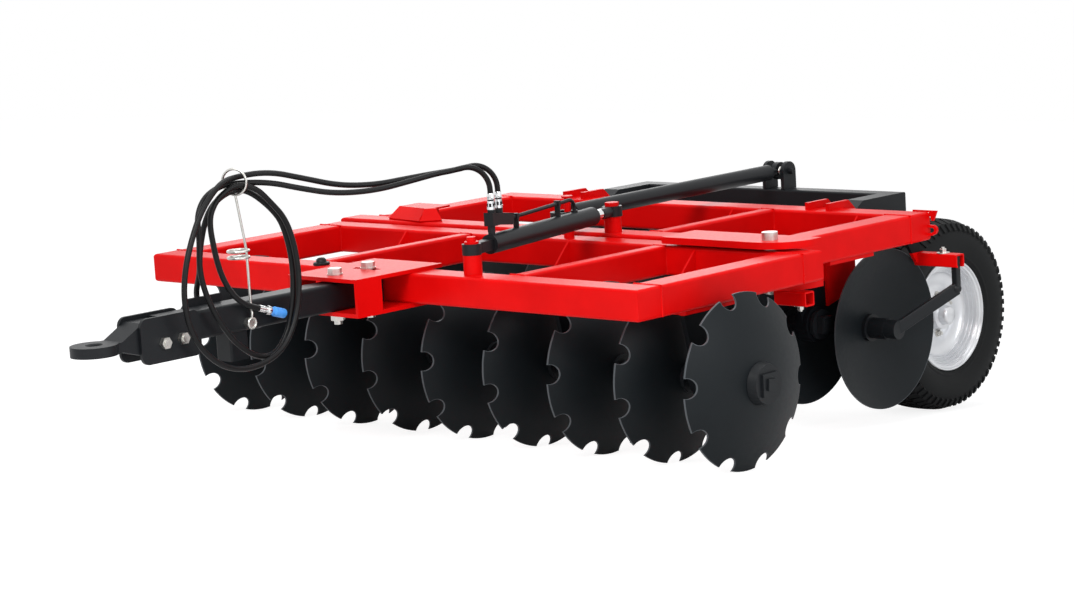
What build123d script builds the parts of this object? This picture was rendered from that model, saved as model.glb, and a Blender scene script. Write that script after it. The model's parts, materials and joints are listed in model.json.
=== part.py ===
# Trailed V-type disc harrow, parked on its notched front discs and two transport wheels.
# Millimetres. +X is the machine's left side, +Y points to the rear, +Z is up.
# The origin lies on the floor below the middle of the machine's whole width and length.
# The frame stands nose down, so every sketch lies on a plane of the tilted machine.
from math import atan2, cos, degrees, hypot, pi, radians, sin, sqrt, tan
import os

from build123d import *

os.makedirs("parts", exist_ok=True)

# ---- stance ----
NOSE_DOWN = 5.06
FIT = 0.1
SEAT = 0.3

# ---- discs and gangs ----
DISC_R = 305.0
DISC_DISH = 78.0
DISC_T = 6.0
DISC_FLAT_R = 58.0
DISC_PITCH = 311.3
NOTCH_R = 34.0
NOTCH_COUNT = 10
NOTCH_CENTRE_R = 297.0
SHAFT_SIDE = 40.0
SHAFT_HOLE = 41.0
SPOOL_R = 34.0
SPOOL_FLANGE_R = 56.0
SPOOL_FLANGE_T = 14.0
CUP_R = 75.0
CUP_T = 34.0
NUT_AF = 78.0
NUT_T = 30.0
FRONT_DISCS = 9
FRONT_RIM_X = -1120.0
REAR_DISCS = 8
REAR_RIM_X = 803.0
REAR_PITCH = 301.0
REAR_GANG_Y = 1044.0
BEARING_R = 50.0
BEARING_T = 72.0
HOUSING_R = 66.0
HOUSING_T = 58.0

# ---- front frame ----
TUBE_H = 108.0
TUBE_ROUND = 12.0
WALL = 8.0
FRONT_TOP = 360.0
FRONT_HALF = 1255.0
FRONT_BEAM_Y = -321.0
FRONT_BEAM_W = 120.0
BACK_BEAM_Y = 545.0
BACK_BEAM_W = 110.0
SIDE_BEAM_W = 120.0
SIDE_BEAM_X = FRONT_HALF - SIDE_BEAM_W / 2
INNER_W = 60.0
INNER_FAR_X = -413.0
INNER_NEAR_X = 588.0

# ---- rear frame ----
REAR_TOP = 370.0
REAR_LEFT_X = 992.0
REAR_FAR_X = -1098.0
REAR_SIDE_W = 120.0
REAR_MID_X = 360.0
REAR_FRONT_Y = 677.5
REAR_FRONT_W = 115.0
REAR_BACK_Y = 1450.0
REAR_BACK_W = 120.0
REAR_REACH_X = -1273.0

# ---- V pivot ----
PIVOT_INSET = 192.0
PIVOT_X = FRONT_HALF - PIVOT_INSET
PIVOT_PIN_R = 25.0
PIVOT_BUSH_R = 42.0
PIVOT_HEAD_R = 29.0
PIVOT_HEAD_T = 28.0
PLATE_T = 25.0
PLATE_X0 = 616.0
PLATE_X1 = PIVOT_X + 144.0
PLATE_Y0 = 470.0
PLATE_Y1 = 657.0
PLATE_ROUND = 150.0
PLATE_GAP = 6.0

# ---- hitch ----
DRAWBAR_W = 100.0
DRAWBAR_Y0 = -1385.0
DRAWBAR_Y1 = -395.0
BRACKET_X = 178.0
BRACKET_T = 14.0
BRACKET_Y0 = -640.0
BRACKET_Y1 = -220.0
BRACKET_SIDE_T = 12.0
BRACKET_SIDE_Y1 = -520.0
PIVOT_BOLT_Y = -575.0
SLOT_BOLT_Y = -415.0
SLOT_SWING = 22.0
HITCH_BOLT_R = 15.0
CHEEK_T = 12.0
CHEEK_Y0 = -1505.0
CHEEK_Y1 = -1250.0
CHEEK_Z0 = 205.0
CHEEK_Z1 = 360.0
EYE_Y = -1653.0
EYE_R = 80.0
EYE_HOLE_R = 26.0
EYE_CHAMFER = 5.0
EYE_Z0 = 262.0
EYE_Z1 = 297.0
EYE_SHANK_Z0 = 236.0
EYE_SHANK_Z1 = 345.0
SOCKET_Y = -1067.0
SOCKET_SIDE = 80.0
SOCKET_Z0 = 152.0

# ---- cylinder ----
POST_R = 33.0
POST_A_X = 430.0
POST_A_Y = -315.0
POST_B_X = 205.0
POST_B_Y = 662.0
RAM_Z = 449.5
RAM_PIN_R = 16.0
RAM_EYE_H = 38.4
RAM_EYE_R = 34.0
RAM_DRIFT = 5.5
BARREL_R = 35.0
BARREL_START = 118.0
BARREL_END = 850.0
BARREL_BORE_R = 27.0
ROD_R = 20.0
ROD_OVERLAP = 365.0
ROD_STUB = 50.0

# ---- oil pipe, ferrules and hoses ----
PORT_A = 138.0
PORT_B = 721.0
PORT_R = 13.0
PORT_H = 6.0
PIPE_R = 7.0
PIPE_BLOCK_W = 38.0
PIPE_BLOCK_D1 = 262.0
# along the cylinder: distance, leg height over the barrel
PIPE_CLIPS = [(306.0, 28.5), (600.0, 35.0)]
FERRULES = (145.0, 195.0)
FERRULE_R = 12.0
FERRULE_TOP = 628.0
HOSE_R = 10.0
COUPLER_R = 17.0

# ---- wheels and wheel frame ----
TYRE_R = 378.5
TYRE_W = 255.0
TYRE_SEAT_R = 199.0
RIM_LIP = 12.0
RIM_FLANGE_R = TYRE_SEAT_R + RIM_LIP
WHEEL_X_NEAR = 772.0
WHEEL_X_FAR = -882.0
WHEEL_Y = 1853.0
CROSS_Y = 1885.0
CROSS_SIDE = 80.0
CROSS_TOP = 380.0
ARM_X_NEAR = 590.0
ARM_X_FAR = -700.0
HINGE_Y = 1575.0
HINGE_Z = 300.0
HINGE_BOSS_R = 37.0
HINGE_PIN_R = 15.0
EAR_T = 16.0
EAR_R = 46.0
STUB_R = 25.0

# ---- link between front frame and wheel frame ----
LINK_Z = 452.0
LINK_FRONT_X = 85.0
LINK_REAR_X = 20.0
LINK_REAR_Y = 1885.0
LINK_R = 32.0
LINK_PIN_R = 13.0
LINK_LOOP_BACK = 18.0
LINK_LOOP_FRONT = 64.0
LINK_LOOP_HALF_W = 29.0
LINK_LOOP_WALL = 14.0
LINK_LOOP_T = 20.0
LINK_TUBE_END = 1240.0
LINK_TUBE_START = 75.0
LINK_PIN_TOP = 58.0
LINK_PIN_FOOT = 25.0
BALL_R = 22.0
BALL_PIN_R = 12.0
CLEVIS_GAP = 80.0
CLEVIS_T = 16.0

# ---- furrow disc ----
FURROW_X = 959.0
FURROW_Y = 1320.0
FURROW_Z = -55.0

LEAN = radians(NOSE_DOWN)
UP = (0, -sin(LEAN), cos(LEAN))
REAR = (0, cos(LEAN), sin(LEAN))
FORWARD = (0, -cos(LEAN), -sin(LEAN))
AXIAL = (1, 0, 0)

# ---- places that follow from the sizes, in the level machine's frame ----
sphere_r = (DISC_R ** 2 + DISC_DISH ** 2) / (2 * DISC_DISH)


def bulge(radius):
    """How far the dished disc stands out of its rim plane at a radius."""
    return DISC_DISH - (sphere_r - sqrt(sphere_r ** 2 - radius ** 2))


flat_out = bulge(DISC_FLAT_R)
mid_r = (DISC_R + DISC_FLAT_R) / 2

front_rims = [FRONT_RIM_X + DISC_PITCH * number for number in range(FRONT_DISCS)]
rear_rims = [REAR_RIM_X - REAR_PITCH * number for number in range(REAR_DISCS)]

front_centres = [rim_x + flat_out for rim_x in front_rims]
rear_centres = [rim_x - flat_out for rim_x in rear_rims]
front_shaft_x0 = -1296.0
front_shaft_x1 = 1497.0
rear_shaft_x0 = rear_centres[-1] - 50
rear_shaft_x1 = 916.0
wheel_z = -(WHEEL_Y * sin(LEAN) + DISC_R - TYRE_R) / cos(LEAN)
nose_tip = (EYE_Y - EYE_R) * cos(LEAN) - EYE_Z1 * sin(LEAN)
tail_tip = WHEEL_Y * cos(LEAN) - wheel_z * sin(LEAN) + TYRE_R
MID_X = (front_shaft_x1 + rear_shaft_x0) / 2
MID_Y = (nose_tip + tail_tip) / 2


def spot(x, y, z):
    """A place on the level machine, z measured from the gang axles, put where the tilted machine has it."""
    out_y = y * cos(LEAN) - z * sin(LEAN) - MID_Y
    return (x - MID_X, out_y, DISC_R + y * sin(LEAN) + z * cos(LEAN))


def level(z, x=0.0, y=0.0):
    """Plane seen from above: local x is the machine's X, local y its rear."""
    return Plane(origin=spot(x, y, z), x_dir=AXIAL, z_dir=UP)


def across(x, y=0.0, z=0.0):
    """Plane seen from the left: local x is the machine's rear, local y its up, extrudes towards +X."""
    return Plane(origin=spot(x, y, z), x_dir=REAR, z_dir=AXIAL)


def ahead(y, x=0.0, z=0.0):
    """Plane seen from the front: local x is the machine's X, local y its up, extrudes forward."""
    return Plane(origin=spot(x, y, z), x_dir=AXIAL, z_dir=FORWARD)


def heading(x0, y0, z, x1, y1):
    """Plane across a level line from one place to another, extrudes along the line; local y is up."""
    dx = x1 - x0
    dy = y1 - y0
    run = hypot(dx, dy)
    ahead_dir = (dx / run, dy / run * cos(LEAN), dy / run * sin(LEAN))
    side_dir = (-dy / run, dx / run * cos(LEAN), dx / run * sin(LEAN))
    return Plane(origin=spot(x0, y0, z), x_dir=side_dir, z_dir=ahead_dir)


def turned(turn, z, x, y):
    """Level plane whose local x is turned by degrees from the machine's X to its rear."""
    along = (cos(radians(turn)), sin(radians(turn)) * cos(LEAN), sin(radians(turn)) * sin(LEAN))
    return Plane(origin=spot(x, y, z), x_dir=along, z_dir=UP)


def facing(start, end):
    """Plane at one place of the part, facing another."""
    return Plane(origin=start, z_dir=tuple(b - a for a, b in zip(start, end)))


# ---- frames: one row for each box tube ----
front_mid_z = FRONT_TOP - TUBE_H / 2
rear_mid_z = REAR_TOP - TUBE_H / 2
front_beam_back = FRONT_BEAM_Y + FRONT_BEAM_W / 2
back_beam_front = BACK_BEAM_Y - BACK_BEAM_W / 2
rear_front_back = REAR_FRONT_Y + REAR_FRONT_W / 2
rear_back_front = REAR_BACK_Y - REAR_BACK_W / 2
rear_left_face = REAR_LEFT_X + REAR_SIDE_W / 2

# along X: centre y, start x, end x, width
FRONT_CROSS_TUBES = [
    (FRONT_BEAM_Y, -FRONT_HALF, FRONT_HALF, FRONT_BEAM_W),
    (BACK_BEAM_Y, -FRONT_HALF, FRONT_HALF, BACK_BEAM_W),
]
# along Y: centre x, width
FRONT_LONG_TUBES = [
    (-SIDE_BEAM_X, SIDE_BEAM_W),
    (INNER_FAR_X, INNER_W),
    (INNER_NEAR_X, INNER_W),
    (SIDE_BEAM_X, SIDE_BEAM_W),
]
REAR_CROSS_TUBES = [
    (REAR_FRONT_Y, REAR_REACH_X, rear_left_face, REAR_FRONT_W),
    (REAR_BACK_Y, REAR_FAR_X - REAR_SIDE_W / 2, rear_left_face, REAR_BACK_W),
]
REAR_LONG_TUBES = [
    (REAR_FAR_X, REAR_SIDE_W),
    (REAR_MID_X, INNER_W),
    (REAR_LEFT_X, REAR_SIDE_W),
]

with BuildPart() as front_frame:
    with BuildSketch(level(FRONT_TOP - TUBE_H)):
        for centre_y, start_x, end_x, width in FRONT_CROSS_TUBES:
            with Locations(((start_x + end_x) / 2, centre_y)):
                Rectangle(end_x - start_x, width)
        for centre_x, width in FRONT_LONG_TUBES:
            with Locations((centre_x, (front_beam_back + back_beam_front) / 2)):
                Rectangle(width, back_beam_front - front_beam_back)
    extrude(amount=TUBE_H)
    flat_faces = faces().filter_by(lambda face: abs(face.normal_at().dot(Vector(*UP))) > 0.99)
    fillet(flat_faces.edges(), TUBE_ROUND)
    for centre_y, start_x, end_x, width in FRONT_CROSS_TUBES:
        with BuildSketch(across(start_x + WALL, centre_y, front_mid_z)):
            Rectangle(width - 2 * WALL, TUBE_H - 2 * WALL)
        extrude(amount=end_x - start_x - 2 * WALL, mode=Mode.SUBTRACT)
    for centre_x, width in FRONT_LONG_TUBES:
        with BuildSketch(ahead(back_beam_front, centre_x, front_mid_z)):
            Rectangle(width - 2 * WALL, TUBE_H - 2 * WALL)
        extrude(amount=back_beam_front - front_beam_back, mode=Mode.SUBTRACT)
    with BuildSketch(level(FRONT_TOP - TUBE_H, PIVOT_X, BACK_BEAM_Y)):
        Circle(PIVOT_BUSH_R)
    extrude(amount=TUBE_H)
    with BuildSketch(level(FRONT_TOP - TUBE_H - 1, PIVOT_X, BACK_BEAM_Y)):
        Circle(PIVOT_PIN_R + FIT)
    extrude(amount=TUBE_H + 2, mode=Mode.SUBTRACT)

with BuildPart() as rear_frame:
    with BuildSketch(level(REAR_TOP - TUBE_H)):
        for centre_y, start_x, end_x, width in REAR_CROSS_TUBES:
            with Locations(((start_x + end_x) / 2, centre_y)):
                Rectangle(end_x - start_x, width)
        for centre_x, width in REAR_LONG_TUBES:
            with Locations((centre_x, (rear_front_back + rear_back_front) / 2)):
                Rectangle(width, rear_back_front - rear_front_back)
    extrude(amount=TUBE_H)
    flat_faces = faces().filter_by(lambda face: abs(face.normal_at().dot(Vector(*UP))) > 0.99)
    fillet(flat_faces.edges(), TUBE_ROUND)
    for centre_y, start_x, end_x, width in REAR_CROSS_TUBES:
        with BuildSketch(across(start_x + WALL, centre_y, rear_mid_z)):
            Rectangle(width - 2 * WALL, TUBE_H - 2 * WALL)
        extrude(amount=end_x - start_x - 2 * WALL, mode=Mode.SUBTRACT)
    for centre_x, width in REAR_LONG_TUBES:
        with BuildSketch(ahead(rear_back_front, centre_x, rear_mid_z)):
            Rectangle(width - 2 * WALL, TUBE_H - 2 * WALL)
        extrude(amount=rear_back_front - rear_front_back, mode=Mode.SUBTRACT)

# ---- V pivot: two plates on the rear frame clasp the front frame's bushed corner ----
lower_plate_top = FRONT_TOP - TUBE_H - PLATE_GAP
rear_bottom = REAR_TOP - TUBE_H
rear_frame_front = REAR_FRONT_Y - REAR_FRONT_W / 2

with BuildPart() as pivot_plates:
    for plate_z in (REAR_TOP, lower_plate_top - PLATE_T):
        with BuildSketch(level(plate_z)):
            with BuildLine():
                Polyline(
                    (PLATE_X0, PLATE_Y0),
                    (PLATE_X1, PLATE_Y0),
                    (PLATE_X1, PLATE_Y1),
                    (PLATE_X0, PLATE_Y1),
                    close=True,
                )
            make_face()
            left_front = vertices().sort_by(Axis.X)[-2:].sort_by(Axis.Y)[0]
            fillet(left_front, PLATE_ROUND)
            with Locations((PIVOT_X, BACK_BEAM_Y)):
                Circle(PIVOT_PIN_R + FIT / 2, mode=Mode.SUBTRACT)
        extrude(amount=PLATE_T)
    with BuildSketch(level(lower_plate_top)):
        with Locations(((PLATE_X0 + rear_left_face) / 2, (rear_frame_front + PLATE_Y1) / 2)):
            Rectangle(rear_left_face - PLATE_X0, PLATE_Y1 - rear_frame_front)
    extrude(amount=rear_bottom - lower_plate_top)

with BuildPart() as pivot_pin:
    with BuildSketch(level(lower_plate_top - PLATE_T - 20, PIVOT_X, BACK_BEAM_Y)):
        Circle(PIVOT_PIN_R)
    extrude(amount=REAR_TOP + 2 * PLATE_T + 20 - lower_plate_top)
    with BuildSketch(level(REAR_TOP + PLATE_T, PIVOT_X, BACK_BEAM_Y)):
        Circle(PIVOT_HEAD_R)
    extrude(amount=PIVOT_HEAD_T)
    with BuildSketch(level(lower_plate_top - PLATE_T - 16, PIVOT_X, BACK_BEAM_Y)):
        Circle(PIVOT_HEAD_R + 4)
    extrude(amount=16)

# ---- discs ----

with BuildPart() as plain_disc:
    with BuildSketch(Plane.XY):
        with BuildLine():
            ThreePointArc((0, DISC_R), (bulge(mid_r), mid_r), (flat_out, DISC_FLAT_R))
            Line((flat_out, DISC_FLAT_R), (flat_out, 0))
            Line((flat_out, 0), (flat_out - DISC_T, 0))
            Line((flat_out - DISC_T, 0), (flat_out - DISC_T, DISC_FLAT_R))
            ThreePointArc(
                (flat_out - DISC_T, DISC_FLAT_R),
                (bulge(mid_r) - DISC_T, mid_r),
                (-DISC_T, DISC_R),
            )
            Line((-DISC_T, DISC_R), (0, DISC_R))
        make_face()
    revolve(axis=Axis.X)
    with BuildSketch(Plane.YZ.offset(-DISC_T)):
        Rectangle(SHAFT_HOLE, SHAFT_HOLE)
    extrude(amount=DISC_DISH + 2 * DISC_T, mode=Mode.SUBTRACT)

with BuildPart() as notched_disc:
    add(plain_disc.part)
    with BuildSketch(Plane.YZ.offset(-2 * DISC_T)):
        with PolarLocations(NOTCH_CENTRE_R, NOTCH_COUNT, start_angle=90 + 180 / NOTCH_COUNT):
            Circle(NOTCH_R)
    extrude(amount=DISC_DISH, mode=Mode.SUBTRACT)



def upright(x, turn=0.0):
    """Frame on the front gang's axle with its own X along the axle; a rim tip points straight down."""
    return Plane(origin=spot(x, 0, 0), x_dir=AXIAL, z_dir=(0, 0, 1)).rotated((turn, 0, 0))


def gang_section(x):
    """Plane across the front gang's axle, square with the floor, extrudes towards +X."""
    return Plane(origin=spot(x, 0, 0), x_dir=(0, 1, 0), z_dir=AXIAL)


def toward_right(x, y=0.0, z=0.0):
    """Frame of a disc whose hollow side faces the machine's left: its own X runs to -X."""
    return Plane(origin=spot(x, y, z), x_dir=(-1, 0, 0), z_dir=UP)


with BuildPart() as front_discs:
    for number, rim_x in enumerate(front_rims):
        with Locations(upright(rim_x, 90 * (number % 2))):
            add(notched_disc.part)

with BuildPart() as rear_discs:
    for rim_x in rear_rims:
        with Locations(toward_right(rim_x, REAR_GANG_Y)):
            add(plain_disc.part)

# ---- gang shafts with their spools, flanges and end nuts ----

with BuildPart() as front_gang_shaft:
    with BuildSketch(gang_section(front_shaft_x0)):
        Rectangle(SHAFT_SIDE, SHAFT_SIDE)
    extrude(amount=front_shaft_x1 - front_shaft_x0)
    spool_ends = [(front_shaft_x0 + NUT_T + 8, front_centres[0] - DISC_T)]
    for number in range(FRONT_DISCS - 1):
        spool_ends.append((front_centres[number], front_centres[number + 1] - DISC_T))
    for start_x, end_x in spool_ends:
        with BuildSketch(across(start_x)):
            Circle(SPOOL_R)
        extrude(amount=end_x - start_x)
        for flange_x in (start_x, end_x - SPOOL_FLANGE_T):
            with BuildSketch(across(flange_x)):
                Circle(SPOOL_FLANGE_R)
            extrude(amount=SPOOL_FLANGE_T)
    with BuildSketch(across(front_centres[-1])):
        Circle(CUP_R)
    extrude(amount=CUP_T, taper=12)
    with BuildSketch(across(front_shaft_x1 - NUT_T - 8)):
        Rectangle(NUT_AF, NUT_AF)
    extrude(amount=NUT_T)
    with BuildSketch(across(front_shaft_x0 + 8)):
        Rectangle(NUT_AF, NUT_AF)
    extrude(amount=NUT_T)

with BuildPart() as rear_gang_shaft:
    with BuildSketch(across(rear_shaft_x0, REAR_GANG_Y)):
        Rectangle(SHAFT_SIDE, SHAFT_SIDE)
    extrude(amount=rear_shaft_x1 - rear_shaft_x0)
    spool_ends = [(rear_centres[0] + DISC_T, rear_shaft_x1 - NUT_T - 4)]
    for number in range(REAR_DISCS - 1):
        spool_ends.append((rear_centres[number + 1] + DISC_T, rear_centres[number]))
    for start_x, end_x in spool_ends:
        with BuildSketch(across(start_x, REAR_GANG_Y)):
            Circle(SPOOL_R)
        extrude(amount=end_x - start_x)
        for flange_x in (start_x, end_x - SPOOL_FLANGE_T):
            with BuildSketch(across(flange_x, REAR_GANG_Y)):
                Circle(SPOOL_FLANGE_R)
            extrude(amount=SPOOL_FLANGE_T)
    with BuildSketch(across(rear_centres[-1] - CUP_T, REAR_GANG_Y)):
        Circle(SPOOL_FLANGE_R)
    extrude(amount=CUP_T)
    with BuildSketch(across(rear_shaft_x1 - NUT_T - 4, REAR_GANG_Y)):
        Rectangle(NUT_AF * 0.8, NUT_AF * 0.8)
    extrude(amount=NUT_T)

# ---- hangers: plate down from the frame, with a ring for the bearing ----
HANGER_T = 18.0
# plate x, beam centre x
FRONT_HANGERS = [(-1200.0, -1195.0), (-345.0, INNER_FAR_X), (618.0, INNER_NEAR_X), (1210.0, 1195.0)]
REAR_HANGERS = [(830.0, REAR_LEFT_X), (350.0, REAR_MID_X), (-1150.0, REAR_FAR_X)]

with BuildPart() as front_hangers:
    foot_top = FRONT_TOP - TUBE_H
    for plate_x, beam_x in FRONT_HANGERS:
        pad_x0 = min(plate_x - 18, beam_x - 45)
        pad_x1 = max(plate_x + 18, beam_x + 45)
        with BuildSketch(level(foot_top - 14, (pad_x0 + pad_x1) / 2)):
            Rectangle(pad_x1 - pad_x0, 260)
        extrude(amount=14)
        with BuildSketch(across(plate_x - HANGER_T / 2)):
            with BuildLine():
                Polyline(
                    (-115, foot_top - 14),
                    (115, foot_top - 14),
                    (HOUSING_R, 30),
                    (HOUSING_R, 0),
                    (-HOUSING_R, 0),
                    (-HOUSING_R, 30),
                    close=True,
                )
            make_face()
        extrude(amount=HANGER_T)
        with BuildSketch(across(plate_x - HOUSING_T / 2)):
            Circle(HOUSING_R)
        extrude(amount=HOUSING_T)
        with BuildSketch(across(plate_x - HOUSING_T / 2 - 1)):
            Circle(BEARING_R)
        extrude(amount=HOUSING_T + 2, mode=Mode.SUBTRACT)

with BuildPart() as front_bearings:
    for plate_x, beam_x in FRONT_HANGERS:
        with BuildSketch(across(plate_x - BEARING_T / 2)):
            Circle(BEARING_R - FIT / 2)
            Circle(SPOOL_R + FIT, mode=Mode.SUBTRACT)
        extrude(amount=BEARING_T)

with BuildPart() as rear_hangers:
    foot_top = REAR_TOP - TUBE_H
    for plate_x, beam_x in REAR_HANGERS:
        pad_x0 = min(plate_x - 18, beam_x - 45)
        pad_x1 = max(plate_x + 18, beam_x + 45)
        with BuildSketch(level(foot_top - 14, (pad_x0 + pad_x1) / 2, REAR_GANG_Y)):
            Rectangle(pad_x1 - pad_x0, 260)
        extrude(amount=14)
        with BuildSketch(across(plate_x - HANGER_T / 2, REAR_GANG_Y)):
            with BuildLine():
                Polyline(
                    (-115, foot_top - 14),
                    (115, foot_top - 14),
                    (HOUSING_R, 30),
                    (HOUSING_R, 0),
                    (-HOUSING_R, 0),
                    (-HOUSING_R, 30),
                    close=True,
                )
            make_face()
        extrude(amount=HANGER_T)
        with BuildSketch(across(plate_x - HOUSING_T / 2, REAR_GANG_Y)):
            Circle(HOUSING_R)
        extrude(amount=HOUSING_T)
        with BuildSketch(across(plate_x - HOUSING_T / 2 - 1, REAR_GANG_Y)):
            Circle(BEARING_R)
        extrude(amount=HOUSING_T + 2, mode=Mode.SUBTRACT)

# plate that braces the left hanger towards the rear
web_x = REAR_HANGERS[0][0] + HANGER_T / 2
web_y = REAR_GANG_Y + HOUSING_R + 15

with BuildPart() as gang_web:
    with BuildSketch(across(web_x)):
        with BuildLine():
            Polyline(
                (web_y, REAR_TOP - TUBE_H - 14),
                (web_y + 175, REAR_TOP - TUBE_H - 14),
                (web_y + 175, 125),
                (web_y + 73, 74),
                (web_y, 55),
                close=True,
            )
        make_face()
    extrude(amount=12)

with BuildPart() as rear_bearings:
    for plate_x, beam_x in REAR_HANGERS:
        with BuildSketch(across(plate_x - BEARING_T / 2, REAR_GANG_Y)):
            Circle(BEARING_R - FIT / 2)
            Circle(SPOOL_R + FIT, mode=Mode.SUBTRACT)
        extrude(amount=BEARING_T)

# ---- hitch bracket, drawbar and tow eye ----
bracket_top = FRONT_TOP
bracket_bottom = FRONT_TOP - TUBE_H
bracket_mid_y = (BRACKET_Y0 + BRACKET_Y1) / 2
bracket_under_y1 = FRONT_BEAM_Y + FRONT_BEAM_W / 2
slot_r = SLOT_BOLT_Y - PIVOT_BOLT_Y

with BuildPart() as hitch_bracket:
    for plate_z, plate_y1 in ((bracket_top, BRACKET_Y1), (bracket_bottom - BRACKET_T, bracket_under_y1)):
        with BuildSketch(level(plate_z)):
            with Locations((0, (BRACKET_Y0 + plate_y1) / 2)):
                Rectangle(2 * BRACKET_X, plate_y1 - BRACKET_Y0)
            with Locations((0, PIVOT_BOLT_Y)):
                Circle(HITCH_BOLT_R + FIT, mode=Mode.SUBTRACT)
        extrude(amount=BRACKET_T)
    slot_half = HITCH_BOLT_R + FIT
    with BuildSketch(level(bracket_bottom - BRACKET_T - 1, 0, PIVOT_BOLT_Y)):
        with BuildLine():
            outer_arc = CenterArc((0, 0), slot_r + slot_half, 90 - SLOT_SWING, 2 * SLOT_SWING)
            inner_arc = CenterArc((0, 0), slot_r - slot_half, 90 - SLOT_SWING, 2 * SLOT_SWING)
            Line(outer_arc @ 0, inner_arc @ 0)
            Line(outer_arc @ 1, inner_arc @ 1)
        make_face()
    extrude(amount=bracket_top - bracket_bottom + 2 * BRACKET_T + 2, mode=Mode.SUBTRACT)
    for side_x in (-BRACKET_X, BRACKET_X - BRACKET_SIDE_T):
        with BuildSketch(across(side_x, (BRACKET_Y0 + BRACKET_SIDE_Y1) / 2, (bracket_top + bracket_bottom) / 2)):
            Rectangle(BRACKET_SIDE_Y1 - BRACKET_Y0, TUBE_H)
        extrude(amount=BRACKET_SIDE_T)

drawbar_z0 = bracket_bottom
drawbar_mid_z = drawbar_z0 + DRAWBAR_W / 2
# bolts across the drawbar: y, z
CROSS_BOLTS = [(-1409.0, 269.0), (-1331.0, 273.0), (-1031.0, 277.0)]
CROSS_BOLT_R = 12.0

with BuildPart() as drawbar:
    with BuildSketch(ahead(DRAWBAR_Y1, 0, drawbar_mid_z)):
        RectangleRounded(DRAWBAR_W, DRAWBAR_W, TUBE_ROUND)
    extrude(amount=DRAWBAR_Y1 - DRAWBAR_Y0)
    with BuildSketch(ahead(DRAWBAR_Y1 + 1, 0, drawbar_mid_z)):
        Rectangle(DRAWBAR_W - 2 * WALL, DRAWBAR_W - 2 * WALL)
    extrude(amount=DRAWBAR_Y1 - DRAWBAR_Y0 + 2, mode=Mode.SUBTRACT)
    for cheek_x in (-DRAWBAR_W / 2 - CHEEK_T, DRAWBAR_W / 2):
        with BuildSketch(across(cheek_x, (CHEEK_Y0 + CHEEK_Y1) / 2, (CHEEK_Z0 + CHEEK_Z1) / 2)):
            RectangleRounded(CHEEK_Y1 - CHEEK_Y0, CHEEK_Z1 - CHEEK_Z0, 30)
        extrude(amount=CHEEK_T)
    with BuildSketch(across(-DRAWBAR_W / 2 - 10)):
        with BuildLine():
            Polyline((-1240, 300), (-1060, 300), (-1060, 379), (-1205, 379), (-1240, 340), close=True)
        make_face()
    extrude(amount=10)
    for bolt_y in (PIVOT_BOLT_Y, SLOT_BOLT_Y):
        with BuildSketch(level(drawbar_z0 - 1, 0, bolt_y)):
            Circle(HITCH_BOLT_R + FIT)
        extrude(amount=DRAWBAR_W + 2, mode=Mode.SUBTRACT)
    for bolt_y, bolt_z in CROSS_BOLTS:
        with BuildSketch(across(-DRAWBAR_W, bolt_y, bolt_z)):
            Circle(CROSS_BOLT_R + FIT)
        extrude(amount=2 * DRAWBAR_W, mode=Mode.SUBTRACT)

with BuildPart() as tow_eye:
    with BuildSketch(across(-DRAWBAR_W / 2 + SEAT)):
        with BuildLine():
            Polyline(
                (DRAWBAR_Y0, EYE_SHANK_Z0),
                (DRAWBAR_Y0, EYE_SHANK_Z1),
                (CHEEK_Y0 + 20, EYE_SHANK_Z1),
                (EYE_Y + EYE_R, EYE_Z1),
                (EYE_Y + 30, EYE_Z1),
                (EYE_Y + 30, EYE_Z0),
                (EYE_Y + EYE_R, EYE_Z0),
                (CHEEK_Y0 + 20, EYE_SHANK_Z0),
                close=True,
            )
        make_face()
    extrude(amount=DRAWBAR_W - 2 * SEAT)
    with BuildSketch(level(EYE_Z0, 0, EYE_Y)):
        Circle(EYE_R)
    extrude(amount=EYE_Z1 - EYE_Z0)
    with BuildSketch(level(EYE_Z0 - 1, 0, EYE_Y)):
        Circle(EYE_HOLE_R)
    extrude(amount=EYE_Z1 - EYE_Z0 + 2, mode=Mode.SUBTRACT)
    eye_edges = edges().filter_by(GeomType.CIRCLE)
    rim_edges = eye_edges.filter_by(lambda edge: abs(edge.radius - EYE_HOLE_R) < 0.01)
    chamfer(rim_edges, EYE_CHAMFER)
    with BuildSketch(across(-DRAWBAR_W, CROSS_BOLTS[0][0], CROSS_BOLTS[0][1])):
        Circle(CROSS_BOLT_R + FIT)
    extrude(amount=2 * DRAWBAR_W, mode=Mode.SUBTRACT)

with BuildPart() as hitch_bolts:
    for bolt_y in (PIVOT_BOLT_Y, SLOT_BOLT_Y):
        with BuildSketch(level(bracket_bottom - BRACKET_T - 40, 0, bolt_y)):
            Circle(HITCH_BOLT_R)
        extrude(amount=bracket_top + 2 * BRACKET_T + 60 - bracket_bottom)
        with BuildSketch(level(bracket_top + BRACKET_T, 0, bolt_y)):
            Circle(28)
        extrude(amount=5)
        with BuildSketch(level(bracket_top + BRACKET_T + 5, 0, bolt_y)):
            RegularPolygon(26, 6)
        extrude(amount=19)
        with BuildSketch(level(bracket_bottom - BRACKET_T - 26, 0, bolt_y)):
            RegularPolygon(26, 6)
        extrude(amount=26)
    for bolt_y, bolt_z in CROSS_BOLTS:
        half = DRAWBAR_W / 2 + (CHEEK_T if bolt_y < CHEEK_Y1 else 0)
        with BuildSketch(across(-half - 30, bolt_y, bolt_z)):
            Circle(CROSS_BOLT_R)
        extrude(amount=2 * half + 52)
        for head_x in (-half - 16, half):
            with BuildSketch(across(head_x, bolt_y, bolt_z)):
                RegularPolygon(21, 6)
            extrude(amount=16)

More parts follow.
